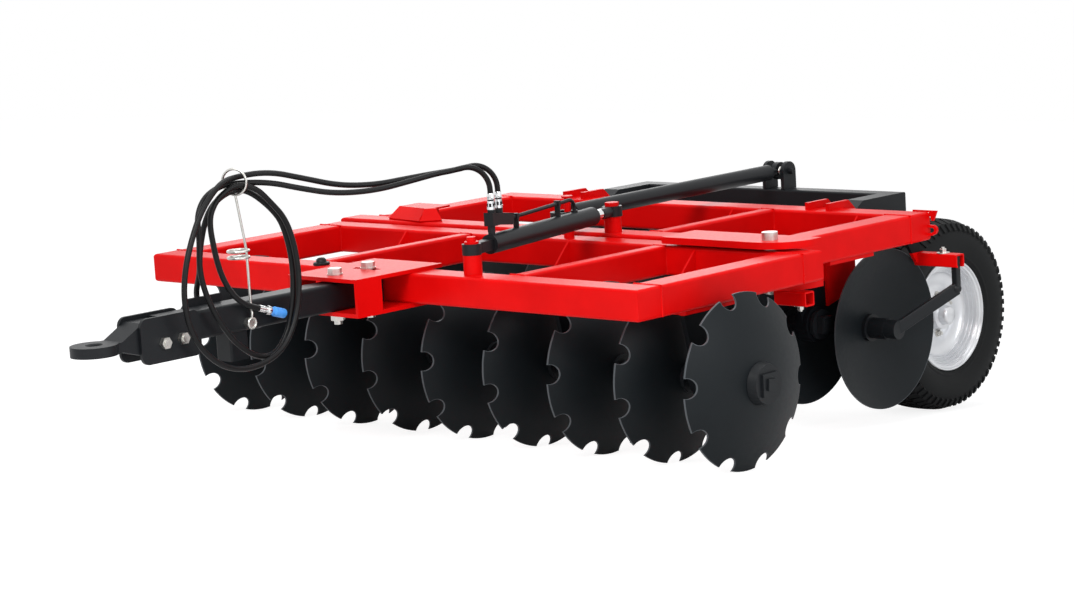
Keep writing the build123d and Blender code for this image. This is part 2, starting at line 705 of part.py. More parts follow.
with BuildPart() as stand_socket:
    with BuildSketch(level(SOCKET_Z0, 0, SOCKET_Y)):
        RectangleRounded(SOCKET_SIDE, SOCKET_SIDE, 8)
        RectangleRounded(SOCKET_SIDE - 12, SOCKET_SIDE - 12, 3, mode=Mode.SUBTRACT)
    extrude(amount=drawbar_z0 - SOCKET_Z0)

# ---- pin posts on the front frame ----
with BuildPart() as front_posts:
    with BuildSketch(level(FRONT_TOP, POST_A_X, POST_A_Y)):
        Circle(POST_R)
    extrude(amount=RAM_Z - RAM_EYE_H / 2 - SEAT - FRONT_TOP)
    with BuildSketch(level(FRONT_TOP, POST_A_X, POST_A_Y)):
        Circle(RAM_PIN_R)
    extrude(amount=RAM_Z + 44 - FRONT_TOP)
    with BuildSketch(level(RAM_Z + RAM_EYE_H / 2 + SEAT, POST_A_X, POST_A_Y)):
        Circle(RAM_PIN_R + 10)
    extrude(amount=8)
    with BuildSketch(level(FRONT_TOP, LINK_FRONT_X, BACK_BEAM_Y)):
        Circle(LINK_PIN_R)
    extrude(amount=LINK_Z + LINK_PIN_TOP - FRONT_TOP)
    with BuildSketch(level(LINK_Z + LINK_PIN_TOP, LINK_FRONT_X, BACK_BEAM_Y)):
        Circle(LINK_PIN_R + 8)
    extrude(amount=8)
    with BuildSketch(level(FRONT_TOP, LINK_FRONT_X, BACK_BEAM_Y)):
        Circle(LINK_PIN_R + 7)
    extrude(amount=LINK_PIN_FOOT)

with BuildPart() as rear_post:
    with BuildSketch(level(REAR_TOP, POST_B_X, POST_B_Y)):
        Circle(POST_R)
    extrude(amount=RAM_Z - RAM_EYE_H / 2 - SEAT - REAR_TOP)
    with BuildSketch(level(REAR_TOP, POST_B_X, POST_B_Y)):
        Circle(RAM_PIN_R)
    extrude(amount=RAM_Z + 32 - REAR_TOP)
    with BuildSketch(level(RAM_Z + RAM_EYE_H / 2 + SEAT, POST_B_X, POST_B_Y)):
        RegularPolygon(28, 6)
    extrude(amount=14)

# ---- cylinder: barrel on the front post, rod eye round the rear post ----
ram_length = hypot(POST_B_X - POST_A_X, POST_B_Y - POST_A_Y)
ram_dx = (POST_B_X - POST_A_X) / ram_length
ram_dy = (POST_B_Y - POST_A_Y) / ram_length


def on_ram(distance, z=RAM_Z):
    """Plane across the cylinder at a distance from its front pin, extrudes to the rear."""
    start_x = POST_A_X + ram_dx * distance
    start_y = POST_A_Y + ram_dy * distance
    return heading(start_x, start_y, z, start_x + ram_dx, start_y + ram_dy)


def ram_xy(distance):
    """Machine x and y at a distance from the cylinder's front pin."""
    return (POST_A_X + ram_dx * distance, POST_A_Y + ram_dy * distance)


def ram_spot(distance, z):
    """A place above the cylinder's line, as part coordinates."""
    return spot(*ram_xy(distance), z)


def beside_ram(offset):
    """Upright plane along the cylinder: local x is the distance to the rear, local y is up."""
    foot = spot(POST_A_X + ram_dy * offset, POST_A_Y - ram_dx * offset, 0)
    along = (ram_dx, ram_dy * cos(LEAN), ram_dy * sin(LEAN))
    side = (ram_dy, -ram_dx * cos(LEAN), -ram_dx * sin(LEAN))
    return Plane(origin=foot, x_dir=along, z_dir=side)


rod_start = BARREL_END - ROD_OVERLAP
barrel_top = RAM_Z + BARREL_R
ram_turn = degrees(atan2(ram_dy, ram_dx))
pipe_route = [
    ram_spot(PIPE_BLOCK_D1 - 6, barrel_top + 38),
    ram_spot(PORT_B, barrel_top + 48),
    ram_spot(PORT_B, barrel_top + PORT_H),
]
rod_shank_start = BARREL_END + ROD_STUB

with BuildPart() as cylinder_barrel:
    with BuildSketch(level(RAM_Z - RAM_EYE_H / 2, POST_A_X, POST_A_Y)):
        Circle(RAM_EYE_R)
    extrude(amount=RAM_EYE_H)
    with BuildSketch(on_ram(0)):
        Rectangle(RAM_EYE_H, RAM_EYE_H)
    extrude(amount=BARREL_START)
    with BuildSketch(on_ram(BARREL_START)):
        Circle(BARREL_R)
    extrude(amount=BARREL_END - BARREL_START)
    with BuildSketch(on_ram(BARREL_START + 60)):
        Circle(BARREL_BORE_R)
    extrude(amount=BARREL_END - BARREL_START - 100, mode=Mode.SUBTRACT)
    with BuildSketch(on_ram(BARREL_START + 60)):
        Circle(ROD_R + FIT)
    extrude(amount=BARREL_END - BARREL_START - 50, mode=Mode.SUBTRACT)
    with BuildSketch(level(RAM_Z - RAM_EYE_H / 2 - 1, POST_A_X, POST_A_Y)):
        Circle(RAM_PIN_R + FIT)
    extrude(amount=RAM_EYE_H + 2, mode=Mode.SUBTRACT)
    for port_d in (PORT_A, PORT_B):
        with BuildSketch(level(barrel_top - 6, *ram_xy(port_d))):
            Circle(PORT_R)
        extrude(amount=PORT_H + 6)
    for clip_d, clip_top in PIPE_CLIPS:
        with BuildSketch(turned(ram_turn, barrel_top - 6, *ram_xy(clip_d))):
            Rectangle(8, 20)
        extrude(amount=clip_top + 6)

# ---- oil pipe and hose ferrules on the cylinder ----
with BuildPart() as cylinder_pipe:
    with BuildSketch(level(barrel_top + PORT_H, *ram_xy(PORT_A))):
        RegularPolygon(14, 6)
    extrude(amount=44)
    with BuildSketch(beside_ram(-PIPE_BLOCK_W / 2)):
        with BuildLine():
            Polyline(
                (PORT_A - 16, barrel_top + PORT_H + 22),
                (PORT_A - 16, barrel_top + 76),
                (PIPE_BLOCK_D1, barrel_top + 58),
                (PIPE_BLOCK_D1, barrel_top + PORT_H + 10),
                (PORT_A + 30, barrel_top + PORT_H + 22),
                close=True,
            )
        make_face()
    extrude(amount=PIPE_BLOCK_W)
    for ferrule_d in FERRULES:
        with BuildSketch(level(barrel_top + 50, *ram_xy(ferrule_d))):
            RegularPolygon(14.5, 6)
        extrude(amount=FERRULE_TOP - 36 - barrel_top - 50)
        with BuildSketch(level(FERRULE_TOP - 37, *ram_xy(ferrule_d))):
            Circle(FERRULE_R)
        extrude(amount=37)
    with BuildLine():
        FilletPolyline(*pipe_route, radius=34)
    with BuildSketch(facing(pipe_route[0], pipe_route[1])):
        Circle(PIPE_R)
    sweep()
    for clip_d, clip_top in PIPE_CLIPS:
        with BuildSketch(turned(ram_turn, barrel_top + clip_top, *ram_xy(clip_d))):
            Rectangle(14, 22)
        extrude(amount=22)

with BuildPart() as cylinder_rod:
    with BuildSketch(on_ram(rod_start)):
        Circle(ROD_R)
    extrude(amount=rod_shank_start - rod_start + 10)
    with BuildSketch(on_ram(rod_start)):
        Circle(BARREL_BORE_R - SEAT)
    extrude(amount=40)

with BuildPart() as rod_eye:
    with BuildSketch(on_ram(rod_shank_start + 10)):
        Circle(RAM_EYE_H / 2 + 4)
    extrude(amount=ram_length - rod_shank_start - 40)
    with BuildSketch(level(RAM_Z - RAM_EYE_H / 2, POST_B_X, POST_B_Y)):
        Circle(RAM_EYE_R + 4)
    extrude(amount=RAM_EYE_H)
    with BuildSketch(level(RAM_Z - 60, POST_B_X, POST_B_Y)):
        Circle(RAM_PIN_R + RAM_DRIFT)
    extrude(amount=120, mode=Mode.SUBTRACT)
    with BuildSketch(level(RAM_Z + RAM_EYE_H / 2, POST_B_X, POST_B_Y)):
        Circle(400)
    extrude(amount=60, mode=Mode.SUBTRACT)
    with BuildSketch(level(RAM_Z - RAM_EYE_H / 2 - 60, POST_B_X, POST_B_Y)):
        Circle(400)
    extrude(amount=60, mode=Mode.SUBTRACT)

# ---- wheel frame: a U of square tube hinged behind the rear frame ----
cross_mid_z = CROSS_TOP - CROSS_SIDE / 2
arm_half = CROSS_SIDE / 2
# arm centre x, wheel centre x
ARMS = [(ARM_X_NEAR, WHEEL_X_NEAR), (ARM_X_FAR, WHEEL_X_FAR)]

with BuildPart() as wheel_frame:
    with BuildSketch(across(ARM_X_FAR - arm_half, CROSS_Y, cross_mid_z)):
        RectangleRounded(CROSS_SIDE, CROSS_SIDE, 8)
    extrude(amount=ARM_X_NEAR - ARM_X_FAR + 2 * arm_half)
    for arm_x, wheel_x in ARMS:
        with BuildSketch(across(arm_x - arm_half)):
            with BuildLine():
                Polyline(
                    (CROSS_Y, CROSS_TOP),
                    (HINGE_Y + 75, CROSS_TOP),
                    (HINGE_Y, HINGE_Z + HINGE_BOSS_R - 2),
                    (HINGE_Y, HINGE_Z - HINGE_BOSS_R + 2),
                    (HINGE_Y + 75, CROSS_TOP - CROSS_SIDE),
                    (CROSS_Y, CROSS_TOP - CROSS_SIDE),
                    close=True,
                )
            make_face()
        extrude(amount=2 * arm_half)
        with BuildSketch(across(arm_x - arm_half, HINGE_Y, HINGE_Z)):
            Circle(HINGE_BOSS_R)
        extrude(amount=2 * arm_half)
        with BuildSketch(level(wheel_z - 45, arm_x, CROSS_Y - 16)):
            Rectangle(2 * arm_half, CROSS_SIDE + 20)
        extrude(amount=CROSS_TOP - 20 - wheel_z + 45)
        with BuildSketch(across(arm_x - arm_half - 1, HINGE_Y, HINGE_Z)):
            Circle(HINGE_PIN_R + FIT)
        extrude(amount=2 * arm_half + 2, mode=Mode.SUBTRACT)

with BuildPart() as stub_axles:
    for arm_x, wheel_x in ARMS:
        side = 1 if wheel_x > 0 else -1
        start_x = arm_x + side * arm_half
        end_x = wheel_x + side * 60
        with BuildSketch(across(min(start_x, end_x), WHEEL_Y, wheel_z)):
            Circle(STUB_R)
        extrude(amount=abs(end_x - start_x))

with BuildPart() as link_clevis:
    clevis_mid = LINK_REAR_X
    for ear_x in (clevis_mid - CLEVIS_GAP / 2 - CLEVIS_T, clevis_mid + CLEVIS_GAP / 2):
        with BuildSketch(across(ear_x, LINK_REAR_Y)):
            with Locations((0, (CROSS_TOP + LINK_Z) / 2)):
                Rectangle(CROSS_SIDE, LINK_Z - CROSS_TOP)
            with Locations((0, LINK_Z)):
                Circle(CROSS_SIDE / 2)
        extrude(amount=CLEVIS_T)
    clevis_half = CLEVIS_GAP / 2 + CLEVIS_T
    with BuildSketch(across(clevis_mid - clevis_half - 18, LINK_REAR_Y, LINK_Z)):
        Circle(BALL_PIN_R)
    extrude(amount=2 * clevis_half + 40)
    for collar_x, collar_t in (
        (clevis_mid - CLEVIS_GAP / 2, CLEVIS_GAP / 2 - BALL_R + 4 - SEAT),
        (clevis_mid + BALL_R - 4 + SEAT, CLEVIS_GAP / 2 - BALL_R + 4 - SEAT),
    ):
        with BuildSketch(across(collar_x, LINK_REAR_Y, LINK_Z)):
            Circle(BALL_PIN_R + 3)
        extrude(amount=collar_t)

with BuildPart() as hinge_ears:
    for arm_x, wheel_x in ARMS:
        for ear_x in (arm_x - arm_half - 2 - EAR_T, arm_x + arm_half + 2):
            with BuildSketch(across(ear_x)):
                with BuildLine():
                    Polyline(
                        (REAR_BACK_Y - 40, REAR_TOP),
                        (REAR_BACK_Y - 40, REAR_TOP + 28),
                        (HINGE_Y - 40, REAR_TOP + 28),
                        (HINGE_Y + EAR_R, HINGE_Z + 20),
                        (HINGE_Y + EAR_R, HINGE_Z),
                        (HINGE_Y, HINGE_Z - EAR_R),
                        (REAR_BACK_Y + REAR_BACK_W / 2, REAR_TOP - TUBE_H + 14),
                        (REAR_BACK_Y + REAR_BACK_W / 2, REAR_TOP),
                        close=True,
                    )
                make_face()
                with Locations((HINGE_Y, HINGE_Z)):
                    Circle(EAR_R)
                with Locations((HINGE_Y, HINGE_Z)):
                    Circle(HINGE_PIN_R + FIT / 2, mode=Mode.SUBTRACT)
            extrude(amount=EAR_T)

with BuildPart() as hinge_pins:
    for arm_x, wheel_x in ARMS:
        pin_half = arm_half + 2 + EAR_T
        with BuildSketch(across(arm_x - pin_half - 10, HINGE_Y, HINGE_Z)):
            Circle(HINGE_PIN_R)
        extrude(amount=2 * pin_half + 20)
        with BuildSketch(across(arm_x + pin_half, HINGE_Y, HINGE_Z)):
            Circle(HINGE_PIN_R + 8)
        extrude(amount=10)

# ---- wheels ----
HUB_R = 62.0
RIM_T = 7.0


def tyre_section(side):
    """Half of nothing is drawn: the closed section of the tyre, axial x across, radius up."""
    half = TYRE_W / 2
    return [
        (-half + 38, TYRE_SEAT_R),
        (half - 38, TYRE_SEAT_R),
        (half - 38, RIM_FLANGE_R + 2),
        (half - 14, RIM_FLANGE_R + 24),
        (half, 290),
        (half - 8, 338),
        (half - 32, TYRE_R - 10),
        (half - 60, TYRE_R),
        (-half + 60, TYRE_R),
        (-half + 32, TYRE_R - 10),
        (-half + 8, 338),
        (-half, 290),
        (-half + 14, RIM_FLANGE_R + 24),
        (-half + 38, RIM_FLANGE_R + 2),
    ]


# node names, wheel centre x, side the hub faces
WHEELS = [("left", WHEEL_X_NEAR, 1), ("right", WHEEL_X_FAR, -1)]

for wheel_name, wheel_x, side in WHEELS:
    outward = Plane(origin=spot(wheel_x, WHEEL_Y, wheel_z), x_dir=(side, 0, 0), z_dir=UP)
    wheel_axis = Axis(outward.origin, (1, 0, 0))
    with BuildPart() as tyre:
        with BuildSketch(outward.rotated((90, 0, 0))):
            with BuildLine():
                Polyline(*tyre_section(side), close=True)
            make_face()
        revolve(axis=wheel_axis)
    tyre.part.label = wheel_name + "_tyre"
    export_step(tyre.part, "parts/" + wheel_name + "_tyre.step")

    with BuildPart() as rim:
        with BuildSketch(outward.rotated((90, 0, 0))):
            half = TYRE_W / 2 - 38
            with BuildLine():
                Polyline(
                    (-half - 12, RIM_FLANGE_R),
                    (-half - SEAT, RIM_FLANGE_R),
                    (-half - SEAT, TYRE_SEAT_R - SEAT),
                    (half + SEAT, TYRE_SEAT_R - SEAT),
                    (half + SEAT, RIM_FLANGE_R),
                    (half + 12, RIM_FLANGE_R),
                    (half + 12, TYRE_SEAT_R - RIM_T),
                    (40 + RIM_T, TYRE_SEAT_R - 2 * RIM_T),
                    (40 + RIM_T, HUB_R),
                    (100, HUB_R),
                    (118, HUB_R - 14),
                    (130, 30),
                    (135, 22),
                    (135, 0),
                    (100, 0),
                    (100, STUB_R + FIT),
                    (-60, STUB_R + FIT),
                    (-60, HUB_R - 10),
                    (40, HUB_R),
                    (40, TYRE_SEAT_R - 3 * RIM_T),
                    (20, TYRE_SEAT_R - 2 * RIM_T),
                    (-half - 12, TYRE_SEAT_R - 2 * RIM_T),
                    close=True,
                )
            make_face()
        revolve(axis=wheel_axis)
    rim.part.label = wheel_name + "_rim"
    export_step(rim.part, "parts/" + wheel_name + "_rim.step")

# ---- link: a ball on the clevis pin, and the tube that ends in a slotted loop round the front pin ----
link_length = hypot(LINK_FRONT_X - LINK_REAR_X, BACK_BEAM_Y - LINK_REAR_Y)
link_dx = (LINK_FRONT_X - LINK_REAR_X) / link_length
link_dy = (BACK_BEAM_Y - LINK_REAR_Y) / link_length


def on_link(distance):
    """Plane across the link at a distance forward of the clevis pin, extrudes forward."""
    start_x = LINK_REAR_X + link_dx * distance
    start_y = LINK_REAR_Y + link_dy * distance
    return heading(start_x, start_y, LINK_Z, start_x + link_dx, start_y + link_dy)


with BuildPart() as link_ball:
    with BuildSketch(Plane(origin=spot(LINK_REAR_X, LINK_REAR_Y, LINK_Z), x_dir=AXIAL, z_dir=UP)):
        with BuildLine():
            half_w = BALL_R - 4
            edge_r = sqrt(BALL_R ** 2 - half_w ** 2)
            ThreePointArc((-half_w, edge_r), (0, BALL_R), (half_w, edge_r))
            Polyline((half_w, edge_r), (half_w, 0), (-half_w, 0), (-half_w, edge_r))
        make_face()
    revolve(axis=Axis(spot(LINK_REAR_X, LINK_REAR_Y, LINK_Z), (1, 0, 0)))
    with BuildSketch(across(LINK_REAR_X - BALL_R, LINK_REAR_Y, LINK_Z)):
        Circle(BALL_PIN_R + FIT)
    extrude(amount=2 * BALL_R, mode=Mode.SUBTRACT)

loop_mid = link_length + (LINK_LOOP_FRONT - LINK_LOOP_BACK) / 2
loop_long = LINK_LOOP_FRONT + LINK_LOOP_BACK
loop_wide = 2 * LINK_LOOP_HALF_W
loop_x = LINK_REAR_X + link_dx * loop_mid
loop_y = LINK_REAR_Y + link_dy * loop_mid
loop_turn = degrees(atan2(link_dy, link_dx))

with BuildPart() as link_tube:
    with BuildSketch(on_link(BALL_R + 8)):
        Circle(BALL_PIN_R + 3)
    extrude(amount=80)
    with BuildSketch(on_link(LINK_TUBE_START)):
        Circle(LINK_R)
    extrude(amount=link_length - LINK_LOOP_BACK - LINK_LOOP_WALL / 2 - LINK_TUBE_START)
    with BuildSketch(turned(loop_turn, LINK_Z - LINK_LOOP_T / 2, loop_x, loop_y)):
        RectangleRounded(loop_long + 2 * LINK_LOOP_WALL, loop_wide + 2 * LINK_LOOP_WALL, 40)
    extrude(amount=LINK_LOOP_T)
    with BuildSketch(turned(loop_turn, LINK_Z - LINK_R - 5, loop_x, loop_y)):
        RectangleRounded(loop_long, loop_wide, 26)
    extrude(amount=2 * LINK_R + 10, mode=Mode.SUBTRACT)
    with BuildSketch(across(LINK_REAR_X - 12, LINK_REAR_Y, LINK_Z)):
        Circle(BALL_R + 14)
    extrude(amount=24)
    with Locations(Plane(origin=spot(LINK_REAR_X, LINK_REAR_Y, LINK_Z), x_dir=AXIAL, z_dir=UP)):
        Sphere(BALL_R + SEAT, mode=Mode.SUBTRACT)

# ---- furrow disc at the rear left corner ----
furrow_centre = FURROW_X - flat_out
ARM_TUBE = 50.0
ARM_TUBE_Y = 1530.0
ARM_TUBE_Z = 186.0
ARM_TUBE_REACH = 195.0
ARM_BAR = 26.0
ARM_BAR_INSET = 22.0
FURROW_HUB_R = 52.0
arm_root = rear_left_face - 77

with BuildPart() as furrow_disc:
    with Locations(toward_right(FURROW_X, FURROW_Y, FURROW_Z)):
        add(plain_disc.part)

with BuildPart() as furrow_hub:
    with BuildSketch(across(furrow_centre + DISC_T, FURROW_Y, FURROW_Z)):
        Circle(FURROW_HUB_R)
    extrude(amount=16)
    with BuildSketch(across(furrow_centre - 18, FURROW_Y, FURROW_Z)):
        Circle(30)
    extrude(amount=18)
    with BuildSketch(across(furrow_centre, FURROW_Y, FURROW_Z)):
        Rectangle(SHAFT_SIDE, SHAFT_SIDE)
    extrude(amount=DISC_T)
    with BuildSketch(across(furrow_centre + DISC_T + 16, FURROW_Y, FURROW_Z)):
        Circle(40)
    extrude(amount=70)
    with BuildSketch(across(furrow_centre + DISC_T, FURROW_Y, FURROW_Z)):
        Circle(15 + FIT)
    extrude(amount=120, mode=Mode.SUBTRACT)

hub_face = furrow_centre + DISC_T + 86

with BuildPart() as furrow_bracket:
    with BuildSketch(across(arm_root, ARM_TUBE_Y, ARM_TUBE_Z)):
        RectangleRounded(ARM_TUBE, ARM_TUBE, 6)
    extrude(amount=ARM_TUBE_REACH)
    with BuildSketch(across(arm_root)):
        with BuildLine():
            Polyline(
                (ARM_TUBE_Y - 90, rear_bottom),
                (ARM_TUBE_Y - 22, rear_bottom),
                (ARM_TUBE_Y + 20, ARM_TUBE_Z + 19),
                (ARM_TUBE_Y + 20, ARM_TUBE_Z - 21),
                (ARM_TUBE_Y - 22, ARM_TUBE_Z - 21),
                close=True,
            )
        make_face()
    extrude(amount=14)
    with BuildSketch(across(arm_root + 16, ARM_TUBE_Y, ARM_TUBE_Z)):
        RectangleRounded(ARM_TUBE - 12, ARM_TUBE - 12, 3)
    extrude(amount=ARM_TUBE_REACH, mode=Mode.SUBTRACT)
    slot_x = arm_root + ARM_TUBE_REACH - ARM_BAR_INSET
    with BuildSketch(level(ARM_TUBE_Z - ARM_TUBE / 2 - 1, slot_x + 20, ARM_TUBE_Y)):
        Rectangle(ARM_BAR + 48, ARM_BAR + 6)
    extrude(amount=10, mode=Mode.SUBTRACT)

arm_x = arm_root + ARM_TUBE_REACH - ARM_BAR_INSET
knee = spot(arm_x, ARM_TUBE_Y, 78)
arm_foot = spot(hub_face + 36.0, FURROW_Y, FURROW_Z)

with BuildPart() as furrow_arm:
    with BuildSketch(level(78, arm_x, ARM_TUBE_Y)):
        RectangleRounded(ARM_BAR, ARM_BAR, 4)
    extrude(amount=ARM_TUBE_Z + ARM_TUBE / 2 - 6 - SEAT - 78)
    with BuildSketch(across(arm_root + 70, ARM_TUBE_Y, ARM_TUBE_Z)):
        RectangleRounded(ARM_TUBE - 12 - 2 * SEAT, ARM_TUBE - 12 - 2 * SEAT, 3)
    extrude(amount=arm_x - arm_root - 70 - ARM_BAR / 2 - 3)
    with BuildSketch(across(arm_root + 70, ARM_TUBE_Y, ARM_TUBE_Z)):
        RectangleRounded(ARM_BAR, ARM_BAR, 3)
    extrude(amount=arm_x - arm_root - 70)
    with Locations(knee):
        Sphere(19)
    with BuildLine():
        Line(knee, arm_foot)
    down_arm = (Vector(*arm_foot) - Vector(*knee)).normalized()
    with BuildSketch(Plane(origin=knee, x_dir=down_arm.cross(Vector(*UP)), z_dir=down_arm)):
        RectangleRounded(24, 46, 5)
    sweep()
    with BuildSketch(across(hub_face + SEAT, FURROW_Y, FURROW_Z)):
        Circle(36)
    extrude(amount=54)
    with BuildSketch(across(furrow_centre + DISC_T + 8, FURROW_Y, FURROW_Z)):
        Circle(15)
    extrude(amount=100)

# ---- stub tube, V guide ----
with BuildPart() as side_stub:
    with BuildSketch(across(PIVOT_X + 41, BACK_BEAM_Y - 15, lower_plate_top - PLATE_T - 26)):
        RectangleRounded(52, 52, 6)
        RectangleRounded(40, 40, 3, mode=Mode.SUBTRACT)
    extrude(amount=139)

# V guide on the rear frame: a raised plate with two folded slopes in front of it
GUIDE_TOP = REAR_TOP + 50
GUIDE_T = 8.0
# corners of each slope: x, y, z, from the foot's left end round to the top's left end
GUIDE_SLOPES = [
    [(-806, 622, REAR_TOP), (-1019, 657, REAR_TOP), (-990, 704, GUIDE_TOP), (-814, 663, GUIDE_TOP)],
    [(-742, 684, REAR_TOP), (-806, 622, REAR_TOP), (-814, 663, GUIDE_TOP), (-790, 696, GUIDE_TOP)],
]

with BuildPart() as guide_plate:
    for corners in GUIDE_SLOPES:
        low_left, low_right, top_right, top_left = [Vector(*spot(*corner)) for corner in corners]
        slope = Plane(origin=low_left, x_dir=low_right - low_left, z_dir=(low_right - low_left).cross(top_right - low_left))
        flat = [slope.to_local_coords(corner) for corner in (low_left, low_right, top_right, top_left)]
        with BuildSketch(slope):
            with BuildLine():
                Polyline(*[(corner.X, corner.Y) for corner in flat], close=True)
            make_face()
        extrude(amount=GUIDE_T, both=True)
    with BuildSketch(level(GUIDE_TOP - GUIDE_T)):
        with BuildLine():
            Polyline((-990, 700), (-989, 795), (-799, 789), (-790, 692), (-814, 659), close=True)
        make_face()
    extrude(amount=GUIDE_T)
    for leg_x in (-975, -812):
        with BuildSketch(level(REAR_TOP, leg_x, 715)):
            Rectangle(10, 36)
        extrude(amount=GUIDE_TOP - GUIDE_T - REAR_TOP)
    with BuildSketch(level(REAR_TOP - 80, -900, 700)):
        Rectangle(500, 300)
    extrude(amount=80, mode=Mode.SUBTRACT)
    with BuildSketch(level(GUIDE_TOP, -900, 700)):
        Rectangle(500, 300)
    extrude(amount=40, mode=Mode.SUBTRACT)

# ---- hose stand: a wire with a coil and a ring at its top ----
STAND_X = 60.0
RING_X = 62.0
WIRE_R = 4.5
COIL_R = 36.0
RING_R = 44.0
BOLT_C_Y, BOLT_C_Z = CROSS_BOLTS[2]
stand_foot_x = DRAWBAR_W / 2 + 16.5 + WIRE_R
eye_r = CROSS_BOLT_R + FIT + WIRE_R
stand_route = [
    spot(stand_foot_x, BOLT_C_Y, BOLT_C_Z + eye_r),
    spot(stand_foot_x, BOLT_C_Y + 2, 310),
    spot(STAND_X, BOLT_C_Y + 8, 345),
    spot(STAND_X, BOLT_C_Y + 8, 500),
    spot(STAND_X, BOLT_C_Y + 5, 545),
    spot(RING_X, -1056, 720),
]
ring_normal = (-0.426, 0.905 * cos(LEAN), 0.905 * sin(LEAN))

with BuildPart() as hose_stand:
    with BuildLine():
        FilletPolyline(*stand_route, radius=20)
    with BuildSketch(facing(stand_route[0], stand_route[1])):
        Circle(WIRE_R)
    sweep()
    with Locations(Plane(origin=spot(stand_foot_x, BOLT_C_Y, BOLT_C_Z), z_dir=AXIAL)):
        Torus(eye_r, WIRE_R)
    for coil_z in (507, 529):
        with Locations(level(coil_z, STAND_X, BOLT_C_Y + 7 - COIL_R)):
            Torus(COIL_R, WIRE_R)
    with Locations(Plane(origin=spot(RING_X, -1056, 764), z_dir=ring_normal)):
        Torus(RING_R, WIRE_R)

# ---- hoses: x, y, z of each point of the route, from the ferrule to the coupler ----
HOSE_A = [
    (397.5, -173.7, 628.0),
    (397.5, -173.7, 647.0),
    (396.2, -177.4, 665.6),
    (393.6, -184.7, 682.9),
    (389.9, -195.3, 698.3),
    (385.3, -208.6, 711.0),
    (379.8, -224.1, 720.5),
    (373.9, -241.2, 726.4),
    (367.6, -259.0, 728.4),
    (359.1, -283.4, 725.7),
    (349.3, -311.4, 721.5),
    (330.9, -362.2, 717.9),
    (297.6, -452.6, 703.2),
    (251.0, -582.4, 683.1),
    (196.7, -724.2, 687.4),
    (145.0, -835.9, 718.1),
    (97.6, -936.1, 750.8),
    (49.3, -1062.0, 760.0),
    (76.0, -1148.0, 755.0),
    (80.0, -1212.0, 726.0),
    (85.0, -1249.0, 668.0),
    (90.0, -1248.4, 590.4),
    (93.0, -1262.7, 494.8),
    (96.0, -1244.0, 404.4),
    (99.0, -1204.8, 320.5),
    (101.0, -1154.4, 247.8),
    (103.0, -1113.4, 208.7),
    (103.0, -1061.1, 172.6),
    (103.0, -1006.4, 156.3),
    (102.5, -954.8, 169.0),
    (101.0, -915.3, 209.4),
    (99.0, -888.8, 250.4),
    (97.0, -858.6, 353.6),
    (88.0, -846.1, 469.6),
    (76.0, -857.6, 571.2),
    (68.0, -883.1, 634.8),
    (62.0, -978.0, 718.0),
    (61.1, -1054.2, 741.0),
    (50.0, -1132.0, 712.0),
    (34.0, -1171.3, 652.1),
    (8.0, -1184.2, 547.3),
    (-24.0, -1166.0, 460.0),
    (-58.0, -1158.0, 408.0),
    (-82.0, -1140.0, 364.0),
    (-96.0, -1112.0, 328.0),
    (-102.0, -1072.0, 301.0),
    (-104.0, -1026.0, 287.0),
    (-104.0, -990.0, 280.0),
]
HOSE_B = [
    (386.2, -125.0, 628.0),
    (386.2, -125.0, 647.0),
    (384.9, -128.7, 665.6),
    (382.3, -136.0, 682.9),
    (378.6, -146.5, 698.3),
    (373.8, -159.8, 711.0),
    (368.3, -175.3, 720.5),
    (362.3, -192.4, 726.4),
    (356.0, -210.2, 728.4),
    (347.3, -234.6, 725.7),
    (337.4, -262.5, 721.5),
    (322.4, -309.7, 718.4),
    (298.5, -374.8, 714.9),
    (267.3, -456.8, 708.7),
    (228.5, -559.6, 700.1),
    (182.2, -685.4, 709.8),
    (138.5, -813.2, 749.9),
    (101.8, -936.2, 786.5),
    (60.3, -1052.4, 781.0),
    (98.0, -1154.0, 770.0),
    (108.0, -1246.7, 691.8),
    (114.0, -1306.9, 592.8),
    (119.0, -1347.6, 495.0),
    (123.0, -1362.5, 393.6),
    (125.0, -1342.2, 293.1),
    (126.0, -1278.8, 201.7),
    (126.0, -1177.5, 141.2),
    (126.0, -1053.3, 135.7),
    (126.0, -942.6, 179.1),
    (124.0, -873.6, 280.9),
    (119.0, -845.4, 401.6),
    (112.0, -850.7, 523.4),
    (105.0, -878.4, 620.1),
    (105.0, -945.0, 688.0),
    (100.0, -990.0, 734.0),
    (78.2, -1050.6, 758.0),
    (74.0, -1114.0, 736.0),
    (72.0, -1160.0, 702.0),
    (72.0, -1187.0, 648.0),
    (76.0, -1177.6, 549.6),
    (78.0, -1162.6, 476.3),
    (79.0, -1136.2, 418.0),
    (80.0, -1101.7, 373.5),
    (81.0, -1056.7, 341.7),
    (81.0, -1006.6, 325.8),
]


def bend_radii(points):
    """Radius of the arc at each inner point of a route."""
    radii = []
    for before, here, after in zip(points, points[1:], points[2:]):
        run_in = Vector(*here) - Vector(*before)
        run_out = Vector(*after) - Vector(*here)
        half_turn = radians(run_in.get_angle(run_out)) / 2
        radii.append(0.45 * min(run_in.length, run_out.length) / tan(half_turn))
    return radii


route_a = [spot(*point) for point in HOSE_A]
route_b = [spot(*point) for point in HOSE_B]
radii_a = bend_radii(route_a)
radii_b = bend_radii(route_b)

with BuildPart() as hose_a:
    with BuildLine() as line_a:
        FilletPolyline(*route_a, radius=radii_a)
    with BuildSketch(facing(route_a[0], route_a[1])):
        Circle(HOSE_R)
    sweep()

with BuildPart() as hose_b:
    with BuildLine() as line_b:
        FilletPolyline(*route_b, radius=radii_b)
    with BuildSketch(facing(route_b[0], route_b[1])):
        Circle(HOSE_R)
    sweep()

